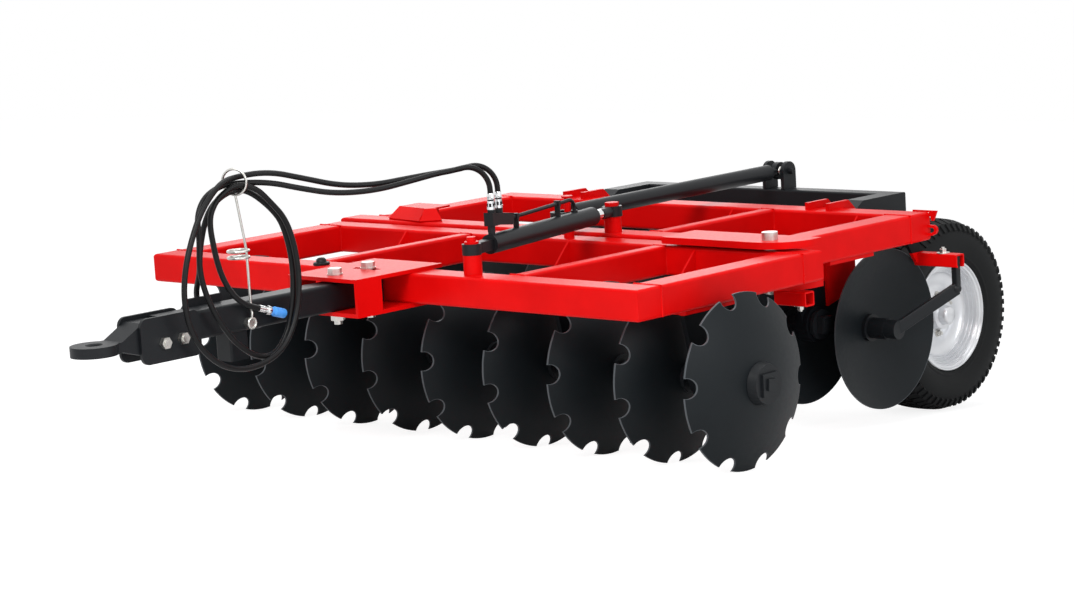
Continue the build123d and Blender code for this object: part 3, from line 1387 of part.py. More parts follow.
for name, radii, line, tube in (("a", radii_a, line_a, hose_a), ("b", radii_b, line_b, hose_b)):
    print("hose", name, "radii", [round(r) for r in radii])
    length = sum(edge.length for edge in line.line.edges())
    print("hose", name, "length", round(length, 1), "volume ratio", tube.part.volume / (length * pi * HOSE_R**2))


def past_end(points, distance):
    """Plane facing on along the last run of a route, at a distance past its end."""
    last = Vector(*points[-1])
    on_dir = (last - Vector(*points[-2])).normalized()
    return Plane(origin=last + on_dir * distance, z_dir=on_dir)


with BuildPart() as hose_ferrules:
    for route in (route_a, route_b):
        with BuildSketch(past_end(route, 0)):
            Circle(FERRULE_R)
        extrude(amount=38)
        with BuildSketch(past_end(route, 38)):
            RegularPolygon(15, 6)
        extrude(amount=16)

with BuildPart() as hose_couplers:
    for route in (route_a, route_b):
        with BuildSketch(past_end(route, 54)):
            Circle(COUPLER_R - 4)
        extrude(amount=14)
        with BuildSketch(past_end(route, 68)):
            Circle(COUPLER_R)
        extrude(amount=52)

NODES = [
    (front_frame, "front_frame"),
    (rear_frame, "rear_frame"),
    (pivot_plates, "pivot_plates"),
    (pivot_pin, "pivot_pin"),
    (front_discs, "front_discs"),
    (rear_discs, "rear_discs"),
    (front_gang_shaft, "front_gang_shaft"),
    (rear_gang_shaft, "rear_gang_shaft"),
    (front_hangers, "front_hangers"),
    (front_bearings, "front_bearings"),
    (rear_hangers, "rear_hangers"),
    (rear_bearings, "rear_bearings"),
    (hitch_bracket, "hitch_bracket"),
    (drawbar, "drawbar"),
    (tow_eye, "tow_eye"),
    (hitch_bolts, "hitch_bolts"),
    (stand_socket, "stand_socket"),
    (front_posts, "front_posts"),
    (rear_post, "rear_post"),
    (cylinder_barrel, "cylinder_barrel"),
    (cylinder_rod, "cylinder_rod"),
    (rod_eye, "rod_eye"),
    (wheel_frame, "wheel_frame"),
    (stub_axles, "stub_axles"),
    (link_clevis, "link_clevis"),
    (hinge_ears, "hinge_ears"),
    (hinge_pins, "hinge_pins"),
    (link_ball, "link_ball"),
    (link_tube, "link_tube"),
    (furrow_disc, "furrow_disc"),
    (furrow_hub, "furrow_hub"),
    (furrow_bracket, "furrow_bracket"),
    (furrow_arm, "furrow_arm"),
    (side_stub, "side_stub"),
    (guide_plate, "guide_plate"),
    (gang_web, "gang_web"),
    (cylinder_pipe, "cylinder_pipe"),
    (hose_stand, "hose_stand"),
    (hose_a, "hose_a"),
    (hose_b, "hose_b"),
    (hose_ferrules, "hose_ferrules"),
    (hose_couplers, "hose_couplers"),
]
for piece, node_name in NODES:
    piece.part.label = node_name
    export_step(piece.part, "parts/" + node_name + ".step")
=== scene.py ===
import json
import math

import bmesh
import bpy
from bpy.props import FloatProperty, FloatVectorProperty, IntProperty, PointerProperty
from bpy.types import Operator, Panel, PropertyGroup
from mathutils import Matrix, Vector

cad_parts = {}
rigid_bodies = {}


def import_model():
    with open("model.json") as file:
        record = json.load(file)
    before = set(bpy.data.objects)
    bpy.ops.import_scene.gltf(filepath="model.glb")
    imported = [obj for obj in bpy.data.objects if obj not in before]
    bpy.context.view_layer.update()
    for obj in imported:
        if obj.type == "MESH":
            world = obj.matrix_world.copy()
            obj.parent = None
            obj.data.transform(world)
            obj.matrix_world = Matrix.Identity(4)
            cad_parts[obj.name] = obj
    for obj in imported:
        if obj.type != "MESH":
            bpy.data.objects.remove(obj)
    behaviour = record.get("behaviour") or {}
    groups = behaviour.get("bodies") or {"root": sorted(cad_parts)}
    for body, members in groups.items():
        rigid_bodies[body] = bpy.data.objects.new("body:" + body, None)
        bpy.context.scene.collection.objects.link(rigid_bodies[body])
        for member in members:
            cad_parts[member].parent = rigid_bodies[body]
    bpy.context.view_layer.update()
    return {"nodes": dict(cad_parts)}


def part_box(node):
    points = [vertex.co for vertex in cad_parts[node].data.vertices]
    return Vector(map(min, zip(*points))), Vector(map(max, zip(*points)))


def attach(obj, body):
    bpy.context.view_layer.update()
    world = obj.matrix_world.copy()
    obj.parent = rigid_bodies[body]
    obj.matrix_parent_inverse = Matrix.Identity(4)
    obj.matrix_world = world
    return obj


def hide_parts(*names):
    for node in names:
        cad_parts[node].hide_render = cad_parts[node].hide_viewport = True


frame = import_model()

bl_info = {
    "name": "V disc harrow",
    "version": (1, 0, 0),
    "blender": (4, 5, 0),
    "location": "View3D > Sidebar > Disc harrow",
    "description": "Finishes, tyres, hoses, fasteners and weld seams of a trailed V disc harrow",
    "category": "Object",
}

# The machine is drawn level and stands nose down. Machine sizes are in millimetres.
LEAN = math.radians(5.06)
MID_X = 33.8265
MID_Y = 239.9001
DISC_R = 305.0
UP = Vector((0.0, -math.sin(LEAN), math.cos(LEAN)))
REAR = Vector((0.0, math.cos(LEAN), math.sin(LEAN)))
AXIAL = Vector((1.0, 0.0, 0.0))


def spot(x, y, z):
    """A place on the level machine, in metres where the leaning machine has it."""
    out_y = y * math.cos(LEAN) - z * math.sin(LEAN) - MID_Y
    out_z = DISC_R + y * math.sin(LEAN) + z * math.cos(LEAN)
    return Vector(((x - MID_X) / 1000, out_y / 1000, out_z / 1000))


def toward(x, y, z):
    """A direction on the level machine, turned as the leaning machine is."""
    return (AXIAL * x + REAR * y + UP * z).normalized()


def radial(angle):
    """A direction out from an axle: 0 points to the rear."""
    return REAR * math.cos(angle) + UP * math.sin(angle)


# ---- shader maths ----
class Num:
    """A number from a shader socket, so that finishes read as arithmetic."""

    def __init__(self, finish, socket):
        self.finish = finish
        self.socket = socket

    def math(self, operation, *others):
        return self.finish.calculate(operation, self, *others)

    def flip(self, operation, other):
        return self.finish.calculate(operation, other, self)

    def __add__(self, other):
        return self.math("ADD", other)

    def __radd__(self, other):
        return self.flip("ADD", other)

    def __sub__(self, other):
        return self.math("SUBTRACT", other)

    def __rsub__(self, other):
        return self.flip("SUBTRACT", other)

    def __mul__(self, other):
        return self.math("MULTIPLY", other)

    def __rmul__(self, other):
        return self.flip("MULTIPLY", other)

    def __truediv__(self, other):
        return self.math("DIVIDE", other)

    def __pow__(self, other):
        return self.math("POWER", other)

    def step(self, low, high):
        """0 below low, 1 above high, smooth between."""
        span = {"interpolation_type": "SMOOTHSTEP"}
        made = self.finish.node("ShaderNodeMapRange", span, Value=self, From_Min=low, From_Max=high)
        return Num(self.finish, made.outputs["Result"])


class NodeMaker:
    """Makes and joins the nodes of one tree."""

    def __init__(self, tree):
        self.tree = tree

    def node(self, kind, settings=None, **values):
        """A node of any kind: its settings first, then values or links for its sockets."""
        made = self.tree.nodes.new(kind)
        for name, setting in (settings or {}).items():
            setattr(made, name, setting)
        for name, value in values.items():
            self.feed(made.inputs[name.replace("_", " ")], value)
        return made

    def feed(self, socket, value):
        """Puts a value on a socket, or links another socket to it."""
        if isinstance(value, Num):
            value = value.socket
        if isinstance(value, bpy.types.NodeSocket):
            self.tree.links.new(value, socket)
        else:
            socket.default_value = value

    def calculate(self, operation, *terms):
        """A number worked out by one Math node."""
        made = self.node("ShaderNodeMath", {"operation": operation})
        for index, term in enumerate(terms):
            self.feed(made.inputs[index], term)
        return Num(self, made.outputs[0])

    def mixed(self, share, first, second):
        """A shader between two, by share."""
        made = self.node("ShaderNodeMixShader")
        for socket, value in zip(made.inputs, (share, first, second)):
            self.feed(socket, value)
        return made.outputs[0]


class Finish(NodeMaker):
    """One procedural material, built around a Principled shader."""

    def __init__(self, name):
        self.material = bpy.data.materials.new(name)
        self.material.use_nodes = True
        super().__init__(self.material.node_tree)
        self.tree.nodes.clear()
        self.shader = self.node("ShaderNodeBsdfPrincipled")
        self.node("ShaderNodeOutputMaterial", Surface=self.shader.outputs[0])
        self.place = self.node("ShaderNodeTexCoord").outputs["Object"]

    def noise(self, scale, detail=3.0):
        made = self.node("ShaderNodeTexNoise", Vector=self.place, Scale=scale, Detail=detail, Roughness=0.55)
        return Num(self, made.outputs["Fac"])

    def axes(self):
        split = self.node("ShaderNodeSeparateXYZ", Vector=self.place)
        return [Num(self, socket) for socket in split.outputs]

    def above(self, level):
        """1 above a height on the level machine, in metres, and 0 below it."""
        y, z = self.axes()[1:]
        height = (z - DISC_R / 1000) * math.cos(LEAN) - (y + MID_Y / 1000) * math.sin(LEAN)
        return height.step(level - 0.001, level + 0.001)

    def blend(self, share, first, second):
        """A colour between two, by share."""
        made = self.node("ShaderNodeMix", {"data_type": "RGBA"})
        self.feed(made.inputs[0], share)
        self.feed(made.inputs[6], first if isinstance(first, bpy.types.NodeSocket) else (*first, 1.0))
        self.feed(made.inputs[7], second if isinstance(second, bpy.types.NodeSocket) else (*second, 1.0))
        return made.outputs[2]

    def bump(self, height, strength, distance):
        made = self.node("ShaderNodeBump", Height=height, Strength=strength, Distance=distance)
        self.feed(self.shader.inputs["Normal"], made.outputs[0])

    def set(self, **values):
        for name, value in values.items():
            self.feed(self.shader.inputs[name.replace("_", " ")], value)
        return self


BEARING_DARK = (0.0060, 0.0070, 0.0085)
NOTCH_CENTRE_R = 0.297
NOTCH_R = 0.034


def gloss_paint(name, colour, deep, dark_below=None, dark_above=None):
    """Sprayed gloss enamel: slight depth changes, orange peel and fine dust on top.

    Below or above a height on the level machine, in metres, it can change to dark enamel.
    """
    finish = Finish(name)
    mottle = finish.noise(3.0, 4.0)
    peel = finish.noise(420.0, 1.0)
    fine = finish.noise(90.0, 3.0)
    enamel = finish.blend(mottle.step(0.35, 0.7), deep, colour)
    if dark_below is not None:
        enamel = finish.blend(finish.above(dark_below), BEARING_DARK, enamel)
    if dark_above is not None:
        enamel = finish.blend(finish.above(dark_above), enamel, BEARING_DARK)
    finish.set(Base_Color=enamel)
    finish.set(Roughness=0.28 + fine * 0.14, IOR=1.17)
    finish.bump(peel, 0.06, 0.0006)
    return finish.material


def dark_paint():
    finish = Finish("charcoal_enamel")
    mottle = finish.noise(4.0, 4.0)
    fine = finish.noise(160.0, 3.0)
    finish.set(Base_Color=finish.blend(mottle, (0.0058, 0.0070, 0.0086), (0.0100, 0.0115, 0.0136)))
    finish.set(Roughness=0.34 + fine * 0.16, IOR=1.31)
    finish.bump(finish.noise(380.0, 1.0), 0.08, 0.0006)
    return finish.material


def disc_steel(name, axle, rim_x, pitch, notches):
    """Dark coated disc steel with a bright ground edge, and the same edge round its notches."""
    finish = Finish(name)
    x, y, z = finish.axes()
    across = y - axle.y
    height = z - axle.z
    reach = (across * across + height * height) ** 0.5
    edge = DISC_R / 1000 - reach
    if notches:
        number = ((x - rim_x) / pitch + 0.75).math("FLOOR")
        odd = number.math("MODULO", 2.0)
        angle = height.math("ARCTAN2", across) - odd * (math.pi / 2)
        turns = angle / (2 * math.pi / notches) + 0.5
        off = (turns - turns.math("FLOOR") - 0.5) * (2 * math.pi / notches)
        side = reach * off.math("SINE")
        inward = reach * off.math("COSINE") - NOTCH_CENTRE_R
        edge = edge.math("MINIMUM", (side * side + inward * inward) ** 0.5 - NOTCH_R)
    scratch = finish.noise(60.0, 4.0)
    ground = 1.0 - (edge + (scratch - 0.5) * 0.0015).step(0.0006, 0.0022)
    rings = (reach * 900.0).math("SINE")
    mottle = finish.noise(7.0, 4.0)
    coat = finish.blend(mottle, (0.0046, 0.0066, 0.0082), (0.0076, 0.0102, 0.0122))
    finish.set(Base_Color=finish.blend(ground * 0.5, coat, (0.16, 0.175, 0.19)))
    finish.set(Roughness=0.40 + scratch * 0.14 - ground * 0.1, Metallic=ground * 0.4, IOR=1.26)
    finish.bump(rings * 0.3 + finish.noise(240.0, 2.0), 0.05, 0.0005)
    return finish.material


def zinc_plate():
    finish = Finish("bright_zinc")
    spangle = finish.noise(120.0, 3.0)
    finish.set(Base_Color=finish.blend(spangle, (0.50, 0.49, 0.46), (0.74, 0.73, 0.70)))
    finish.set(Metallic=1.0, Roughness=0.22 + spangle * 0.22)
    finish.bump(spangle, 0.08, 0.0004)
    return finish.material


def hard_chrome():
    finish = Finish("hard_chrome")
    fine = finish.noise(300.0, 2.0)
    finish.set(Base_Color=(0.80, 0.81, 0.82, 1.0), Metallic=1.0, Roughness=0.07 + fine * 0.08)
    finish.bump(fine, 0.02, 0.0003)
    return finish.material


def tyre_rubber():
    finish = Finish("tyre_rubber")
    cloud = finish.noise(9.0, 4.0)
    grain = finish.noise(500.0, 2.0)
    finish.set(Base_Color=finish.blend(cloud, (0.0036, 0.0040, 0.0044), (0.0078, 0.0086, 0.0090)))
    finish.set(Roughness=0.56 + cloud * 0.2, IOR=1.27)
    finish.bump(grain, 0.16, 0.0006)
    return finish.material


def hose_rubber():
    finish = Finish("hose_rubber")
    cloud = finish.noise(30.0, 3.0)
    wrap = finish.noise(900.0, 1.0)
    finish.set(Base_Color=finish.blend(cloud, (0.0026, 0.0026, 0.0030), (0.0060, 0.0060, 0.0066)))
    finish.set(Roughness=0.34 + cloud * 0.16, IOR=1.30)
    finish.bump(wrap, 0.25, 0.0006)
    return finish.material


def rim_silver():
    finish = Finish("rim_silver")
    cloud = finish.noise(14.0, 4.0)
    flake = finish.noise(700.0, 2.0)
    finish.set(Base_Color=finish.blend(cloud, (0.62, 0.63, 0.65), (0.76, 0.77, 0.79)))
    finish.set(Metallic=0.60, Roughness=0.24 + cloud * 0.14, Coat_Weight=0.2, Coat_Roughness=0.2)
    finish.bump(flake, 0.08, 0.0005)
    return finish.material


def coupler_plastic():
    finish = Finish("coupler_cap")
    cloud = finish.noise(80.0, 3.0)
    finish.set(Base_Color=finish.blend(cloud, (0.055, 0.27, 0.78), (0.085, 0.36, 0.88)))
    finish.set(Roughness=0.32 + cloud * 0.14)
    finish.bump(finish.noise(400.0, 2.0), 0.08, 0.0005)
    return finish.material


# ---- sizes and colours a user would change ----
class HarrowSizes(PropertyGroup):
    hose_d: FloatProperty(name="Hose", description="Outside diameter of a hose", default=0.020, unit="LENGTH")
    tread_blocks: IntProperty(name="Tread blocks", description="Blocks round one row of the tyre", default=64)
    tread_h: FloatProperty(name="Tread height", description="Height of a tread block", default=0.008, unit="LENGTH")
    weld_bead: FloatProperty(name="Weld bead", description="Radius of a weld bead", default=0.0034, unit="LENGTH")
    frame_red: FloatVectorProperty(
        name="Frame red", description="Enamel on the frames", default=(0.74, 0.003, 0.003), subtype="COLOR"
    )
    frame_red_deep: FloatVectorProperty(
        name="Deep red", description="Enamel where it lies thick", default=(0.62, 0.002, 0.002), subtype="COLOR"
    )


def sizes():
    return bpy.context.scene.harrow_sizes


FINISHES = {}


def finish(name):
    """A finish by name, made the first time it is asked for."""
    if not FINISHES:
        colours = sizes()
        reds = (tuple(colours.frame_red), tuple(colours.frame_red_deep))
        FINISHES["red"] = gloss_paint("harrow_red", *reds)
        FINISHES["hanger"] = gloss_paint("hanger_enamel", *reds, dark_below=0.232)
        FINISHES["rear_hanger"] = gloss_paint("rear_hanger_enamel", *reds, dark_below=0.150)
        FINISHES["bracket"] = gloss_paint("bracket_enamel", *reds, dark_above=0.2125)
        FINISHES["charcoal"] = dark_paint()
        FINISHES["zinc"] = zinc_plate()
        FINISHES["chrome"] = hard_chrome()
        FINISHES["tyre"] = tyre_rubber()
        FINISHES["hose"] = hose_rubber()
        FINISHES["rim"] = rim_silver()
        FINISHES["coupler"] = coupler_plastic()
        FINISHES["notched"] = disc_steel("notched_disc", spot(0, 0, 0), -1.120 - MID_X / 1000, 0.3113, 10)
        FINISHES["plain"] = disc_steel("plain_disc", spot(0, 1044, 0), 0.0, 1.0, 0)
        FINISHES["furrow"] = disc_steel("furrow_disc", spot(0, 1320, -55), 0.0, 1.0, 0)
    return FINISHES[name]


# ---- mesh helpers ----
def mesh_object(name, build, material, smooth=35.0):
    """A piece from a function that fills a bmesh."""
    shape = bmesh.new()
    build(shape)
    bmesh.ops.remove_doubles(shape, verts=shape.verts, dist=1e-6)
    bmesh.ops.recalc_face_normals(shape, faces=shape.faces)
    mesh = bpy.data.meshes.new(name)
    shape.to_mesh(mesh)
    shape.free()
    piece = bpy.data.objects.new(name, mesh)
    bpy.context.scene.collection.objects.link(piece)
    mesh.materials.append(finish(material))
    if smooth:
        smooth_by_angle(mesh, smooth)
    return piece


def smooth_by_angle(mesh, degrees):
    mesh.polygons.foreach_set("use_smooth", [True] * len(mesh.polygons))
    mesh.set_sharp_from_angle(angle=math.radians(degrees))


def revolve(shape, centre, axis, profile, steps, closed=True):
    """Spins a profile of (along the axis, radius) rows round an axis."""
    axis = axis.normalized()
    side = axis.orthogonal().normalized()
    lift = axis.cross(side)
    rings = []
    for along, radius in profile:
        ring = []
        for number in range(steps):
            angle = 2 * math.pi * number / steps
            out = side * math.cos(angle) + lift * math.sin(angle)
            ring.append(shape.verts.new(centre + axis * along + out * max(radius, 0.0)))
            if radius <= 1e-9:
                break
        rings.append(ring)
    pairs = list(zip(rings, rings[1:]))
    if closed:
        pairs.append((rings[-1], rings[0]))
    for first, second in pairs:
        for number in range(steps):
            after = (number + 1) % steps
            if len(first) == 1 and len(second) == 1:
                continue
            if len(first) == 1:
                shape.faces.new((first[0], second[number], second[after]))
            elif len(second) == 1:
                shape.faces.new((first[number], first[after], second[0]))
            else:
                shape.faces.new((first[number], first[after], second[after], second[number]))


# ---- geometry node trees ----
BEAD_STEP = 1.25


class Tree(NodeMaker):
    """A geometry node tree with named inputs."""

    def __init__(self, name, inputs):
        super().__init__(bpy.data.node_groups.new(name, "GeometryNodeTree"))
        face = self.tree.interface
        face.new_socket("Geometry", in_out="INPUT", socket_type="NodeSocketGeometry")
        self.ids = {}
        for label, kind, value in inputs:
            socket = face.new_socket(label, in_out="INPUT", socket_type="NodeSocket" + kind)
            if kind != "Material":
                socket.default_value = value
            self.ids[label] = socket.identifier
        face.new_socket("Geometry", in_out="OUTPUT", socket_type="NodeSocketGeometry")
        self.input = self.node("NodeGroupInput")
        self.output = self.node("NodeGroupOutput")

    def end(self, geometry):
        real = self.node("GeometryNodeRealizeInstances", Geometry=geometry)
        painted = self.node("GeometryNodeSetMaterial", Geometry=real.outputs[0], Material=self.input.outputs["Finish"])
        self.feed(self.output.inputs[0], painted.outputs[0])
        return self


def bake(source, tree, name, values, smooth=35.0):
    """Runs a tree on a piece and turns the result into a plain mesh."""
    modifier = source.modifiers.new("nodes", "NODES")
    modifier.node_group = tree.tree
    for label, value in values.items():
        modifier[tree.ids[label]] = value
    bpy.context.view_layer.update()
    ready = source.evaluated_get(bpy.context.evaluated_depsgraph_get())
    mesh = bpy.data.meshes.new_from_object(ready)
    source.modifiers.remove(modifier)
    piece = bpy.data.objects.new(name, mesh)
    bpy.context.scene.collection.objects.link(piece)
    bpy.data.objects.remove(source)
    mesh.name = name
    if smooth:
        smooth_by_angle(mesh, smooth)
    return piece


def repeat_tree():
    """Repeats a shape evenly round an axle that runs along X."""
    inputs = [("Count", "Int", 12), ("Centre", "Vector", (0, 0, 0)), ("Finish", "Material", None)]
    tree = Tree("repeat_round_axle", inputs)
    place = tree.input.outputs
    back = tree.node("ShaderNodeVectorMath", {"operation": "SCALE"})
    tree.feed(back.inputs[0], place["Centre"])
    tree.feed(back.inputs["Scale"], -1.0)
    home = tree.node("GeometryNodeTransform", Geometry=place["Geometry"], Translation=back.outputs[0])
    points = tree.node("GeometryNodePoints", Count=place["Count"], Position=place["Centre"])
    index = tree.node("GeometryNodeInputIndex")
    share = tree.calculate("DIVIDE", index.outputs[0], place["Count"])
    turn = tree.node("ShaderNodeCombineXYZ", X=share * (2 * math.pi))
    copies = tree.node(
        "GeometryNodeInstanceOnPoints", Points=points.outputs[0], Instance=home.outputs[0], Rotation=turn.outputs[0]
    )
    return tree.end(copies.outputs[0])


def bolt_tree():
    """A washer, a chamfered hexagon and a stud end on each point, along its axis and to its size."""
    tree = Tree("hexagon_bolts", [("Washer", "Float", 1.05), ("Stud", "Float", 0.25), ("Finish", "Material", None)])
    place = tree.input.outputs
    washer = tree.node("GeometryNodeMeshCylinder", Vertices=20, Radius=place["Washer"], Depth=0.12)
    washer_up = tree.node("GeometryNodeTransform", Geometry=washer.outputs[0], Translation=(0, 0, 0.06))
    head = tree.node("GeometryNodeMeshCylinder", Vertices=6, Radius=0.577, Depth=0.52)
    head_up = tree.node("GeometryNodeTransform", Geometry=head.outputs[0], Translation=(0, 0, 0.38))
    crown = tree.node("GeometryNodeMeshCone", Vertices=6, Radius_Top=0.50, Radius_Bottom=0.577, Depth=0.07)
    crown_up = tree.node("GeometryNodeTransform", Geometry=crown.outputs[0], Translation=(0, 0, 0.64))
    stud = tree.node("GeometryNodeMeshCylinder", Vertices=16, Radius=0.30, Depth=place["Stud"])
    rise = tree.node("ShaderNodeCombineXYZ", Z=tree.calculate("MULTIPLY_ADD", place["Stud"], 0.5, 0.70))
    stud_up = tree.node("GeometryNodeTransform", Geometry=stud.outputs[0], Translation=rise.outputs[0])
    whole = tree.node("GeometryNodeJoinGeometry")
    for part in (washer_up, head_up, crown_up, stud_up):
        tree.feed(whole.inputs[0], part.outputs[0])
    points = tree.node("GeometryNodeMeshToPoints", Mesh=place["Geometry"])
    axis = tree.node("GeometryNodeInputNamedAttribute", {"data_type": "FLOAT_VECTOR"}, Name="axis")
    size = tree.node("GeometryNodeInputNamedAttribute", {"data_type": "FLOAT"}, Name="size")
    turn = tree.node("FunctionNodeAlignRotationToVector", {"axis": "Z"}, Vector=axis.outputs[0])
    copies = tree.node(
        "GeometryNodeInstanceOnPoints",
        Points=points.outputs[0],
        Instance=whole.outputs[0],
        Rotation=turn.outputs[0],
        Scale=size.outputs[0],
    )
    return tree.end(copies.outputs[0])


def weld_tree():
    """Overlapping beads along each edge, as a hand weld leaves them."""
    tree = Tree("weld_beads", [("Bead", "Float", 0.004), ("Seed", "Int", 7), ("Finish", "Material", None)])
    place = tree.input.outputs
    line = tree.node("GeometryNodeMeshToCurve", Mesh=place["Geometry"])
    step = tree.calculate("MULTIPLY", place["Bead"], BEAD_STEP)
    points = tree.node("GeometryNodeCurveToPoints", {"mode": "LENGTH"}, Curve=line.outputs[0], Length=step)
    ball = tree.node("GeometryNodeMeshIcoSphere", Radius=place["Bead"], Subdivisions=2)
    spread = tree.node("FunctionNodeRandomValue", {"data_type": "FLOAT"}, Seed=place["Seed"])
    spread.inputs[2].default_value = 0.85
    spread.inputs[3].default_value = 1.15
    copies = tree.node(
        "GeometryNodeInstanceOnPoints",
        Points=points.outputs[0],
        Instance=ball.outputs[0],
        Scale=spread.outputs[1],
    )
    return tree.end(copies.outputs[0])


def point_cloud(name, rows):
    """A mesh of loose points with an axis and a size each: rows of (place, axis, size in metres)."""
    mesh = bpy.data.meshes.new(name)
    mesh.from_pydata([row[0] for row in rows], [], [])
    axis = mesh.attributes.new("axis", "FLOAT_VECTOR", "POINT")
    axis.data.foreach_set("vector", [value for row in rows for value in row[1]])
    size = mesh.attributes.new("size", "FLOAT", "POINT")
    size.data.foreach_set("value", [row[2] for row in rows])
    piece = bpy.data.objects.new(name, mesh)
    bpy.context.scene.collection.objects.link(piece)
    return piece


# ---- stage ----
WHITE = (1.0, 1.0, 1.0, 1.0)
CAMERA_LENS = 99.27
CAMERA_PLACE = (7.6902, -7.8709, 1.427)
CAMERA_TILT = 85.08
CAMERA_TURN = 43.8
ROOM_LIGHT = 0.50
FLOOR_REACH = 40.0
FLOOR_GLOW = 1.36
FLOOR_GLOW_SHARE = 0.62
# name, place, aimed at, size, watts, colour
LAMPS = (
    ("key", (3.0, -7.5, 6.5), (0.0, -0.3, 0.4), 4.0, 560.0, (1.0, 0.99, 0.97)),
    ("fill", (8.0, -1.0, 3.5), (0.3, 0.0, 0.4), 4.5, 190.0, (0.97, 0.98, 1.0)),
    ("top", (-0.5, 0.5, 7.0), (0.0, 0.0, 0.4), 6.0, 190.0, (1.0, 1.0, 1.0)),
    ("back", (-6.0, 6.0, 4.0), (0.0, 0.0, 0.5), 4.0, 90.0, (1.0, 1.0, 1.0)),
)


class HARROW_OT_stage(Operator):
    """Pale floor, soft studio light and the camera"""

    bl_idname = "harrow.stage"
    bl_label = "Stage"

    def execute(self, context):
        scene = context.scene
        camera = bpy.data.cameras.new("camera")
        camera.lens = CAMERA_LENS
        camera.sensor_width = 36.0
        camera.clip_end = 200.0
        holder = bpy.data.objects.new("camera", camera)
        holder.location = CAMERA_PLACE
        holder.rotation_euler = (math.radians(CAMERA_TILT), 0.0, math.radians(CAMERA_TURN))
        scene.collection.objects.link(holder)
        scene.camera = holder
        scene.view_settings.view_transform = "Standard"

        scene.world = bpy.data.worlds.new("studio")
        scene.world.use_nodes = True
        sky = NodeMaker(scene.world.node_tree)
        sky.tree.nodes.clear()
        rays = sky.node("ShaderNodeLightPath").outputs
        seen = sky.calculate("MAXIMUM", rays["Is Camera Ray"], rays["Is Transmission Ray"])
        clear = sky.calculate("MAXIMUM", seen, rays["Is Glossy Ray"])
        pale = sky.node("ShaderNodeBackground", Strength=1.0, Color=WHITE)
        dim = sky.node("ShaderNodeBackground", Strength=ROOM_LIGHT, Color=(0.96, 0.98, 1.0, 1.0))
        sky.node("ShaderNodeOutputWorld", Surface=sky.mixed(clear, dim.outputs[0], pale.outputs[0]))

        mesh = bpy.data.meshes.new("floor")
        reach = FLOOR_REACH
        corners = [(-reach, -reach, 0), (reach, -reach, 0), (reach, reach, 0), (-reach, reach, 0)]
        mesh.from_pydata(corners, [], [(0, 1, 2, 3)])
        floor = bpy.data.objects.new("floor", mesh)
        scene.collection.objects.link(floor)
        pale_floor = bpy.data.materials.new("pale_floor")
        pale_floor.use_nodes = True
        ground = NodeMaker(pale_floor.node_tree)
        ground.tree.nodes.clear()
        diffuse = ground.node("ShaderNodeBsdfDiffuse", Color=(0.86, 0.86, 0.86, 1.0))
        glow = ground.node("ShaderNodeEmission", Color=WHITE, Strength=FLOOR_GLOW)
        camera_ray = ground.node("ShaderNodeLightPath").outputs["Is Camera Ray"]
        share = ground.calculate("MULTIPLY", camera_ray, FLOOR_GLOW_SHARE)
        surface = ground.mixed(share, diffuse.outputs[0], glow.outputs[0])
        ground.node("ShaderNodeOutputMaterial", Surface=surface)
        mesh.materials.append(pale_floor)

        for name, place, aim, width, watts, colour in LAMPS:
            lamp = bpy.data.lights.new(name, "AREA")
            lamp.shape = "SQUARE"
            lamp.size = width
            lamp.energy = watts
            lamp.color = colour
            held = bpy.data.objects.new(name, lamp)
            held.location = place
            held.rotation_euler = (Vector(aim) - Vector(place)).to_track_quat("-Z", "Y").to_euler()
            scene.collection.objects.link(held)
        return {"FINISHED"}


# ---- hoses ----
HOSE_A = [
    (0.3637, -0.4683, 0.9152),
    (0.3637, -0.4700, 0.9342),
    (0.3624, -0.4753, 0.9524),
    (0.3598, -0.4841, 0.9689),
    (0.3561, -0.4960, 0.9834),
    (0.3515, -0.5104, 0.9948),
    (0.3460, -0.5267, 1.0029),
    (0.3401, -0.5442, 1.0073),
    (0.3338, -0.5621, 1.0077),
    (0.3253, -0.5862, 1.0029),
    (0.3155, -0.6137, 0.9962),
    (0.2971, -0.6640, 0.9882),
    (0.2638, -0.7528, 0.9655),
    (0.2172, -0.8803, 0.9341),
    (0.1629, -1.0219, 0.9258),
    (0.1112, -1.1359, 0.9466),
    (0.0638, -1.2386, 0.9703),
    (0.0155, -1.3648, 0.9684),
    (0.0422, -1.4500, 0.9558),
    (0.0462, -1.5112, 0.9213),
    (0.0512, -1.5429, 0.8602),
    (0.0562, -1.5355, 0.7830),
    (0.0592, -1.5413, 0.6865),
    (0.0622, -1.5147, 0.5981),
    (0.0652, -1.4683, 0.5180),
    (0.0672, -1.4117, 0.4500),
    (0.0692, -1.3674, 0.4147),
    (0.0692, -1.3121, 0.3833),
    (0.0692, -1.2562, 0.3719),
    (0.0687, -1.2059, 0.3891),
    (0.0672, -1.1701, 0.4329),
    (0.0652, -1.1473, 0.4760),
    (0.0632, -1.1263, 0.5815),
    (0.0542, -1.1241, 0.6981),
    (0.0422, -1.1445, 0.7983),
    (0.0342, -1.1755, 0.8594),
    (0.0282, -1.2774, 0.9339),
    (0.0273, -1.3553, 0.9501),
    (0.0162, -1.4303, 0.9144),
    (0.0002, -1.4641, 0.8513),
    (-0.0258, -1.4678, 0.7457),
    (-0.0578, -1.4419, 0.6604),
    (-0.0918, -1.4294, 0.6093),
    (-0.1158, -1.4076, 0.5670),
    (-0.1298, -1.3765, 0.5336),
    (-0.1358, -1.3343, 0.5103),
    (-0.1378, -1.2872, 0.5004),
    (-0.1378, -1.2507, 0.4966),
]
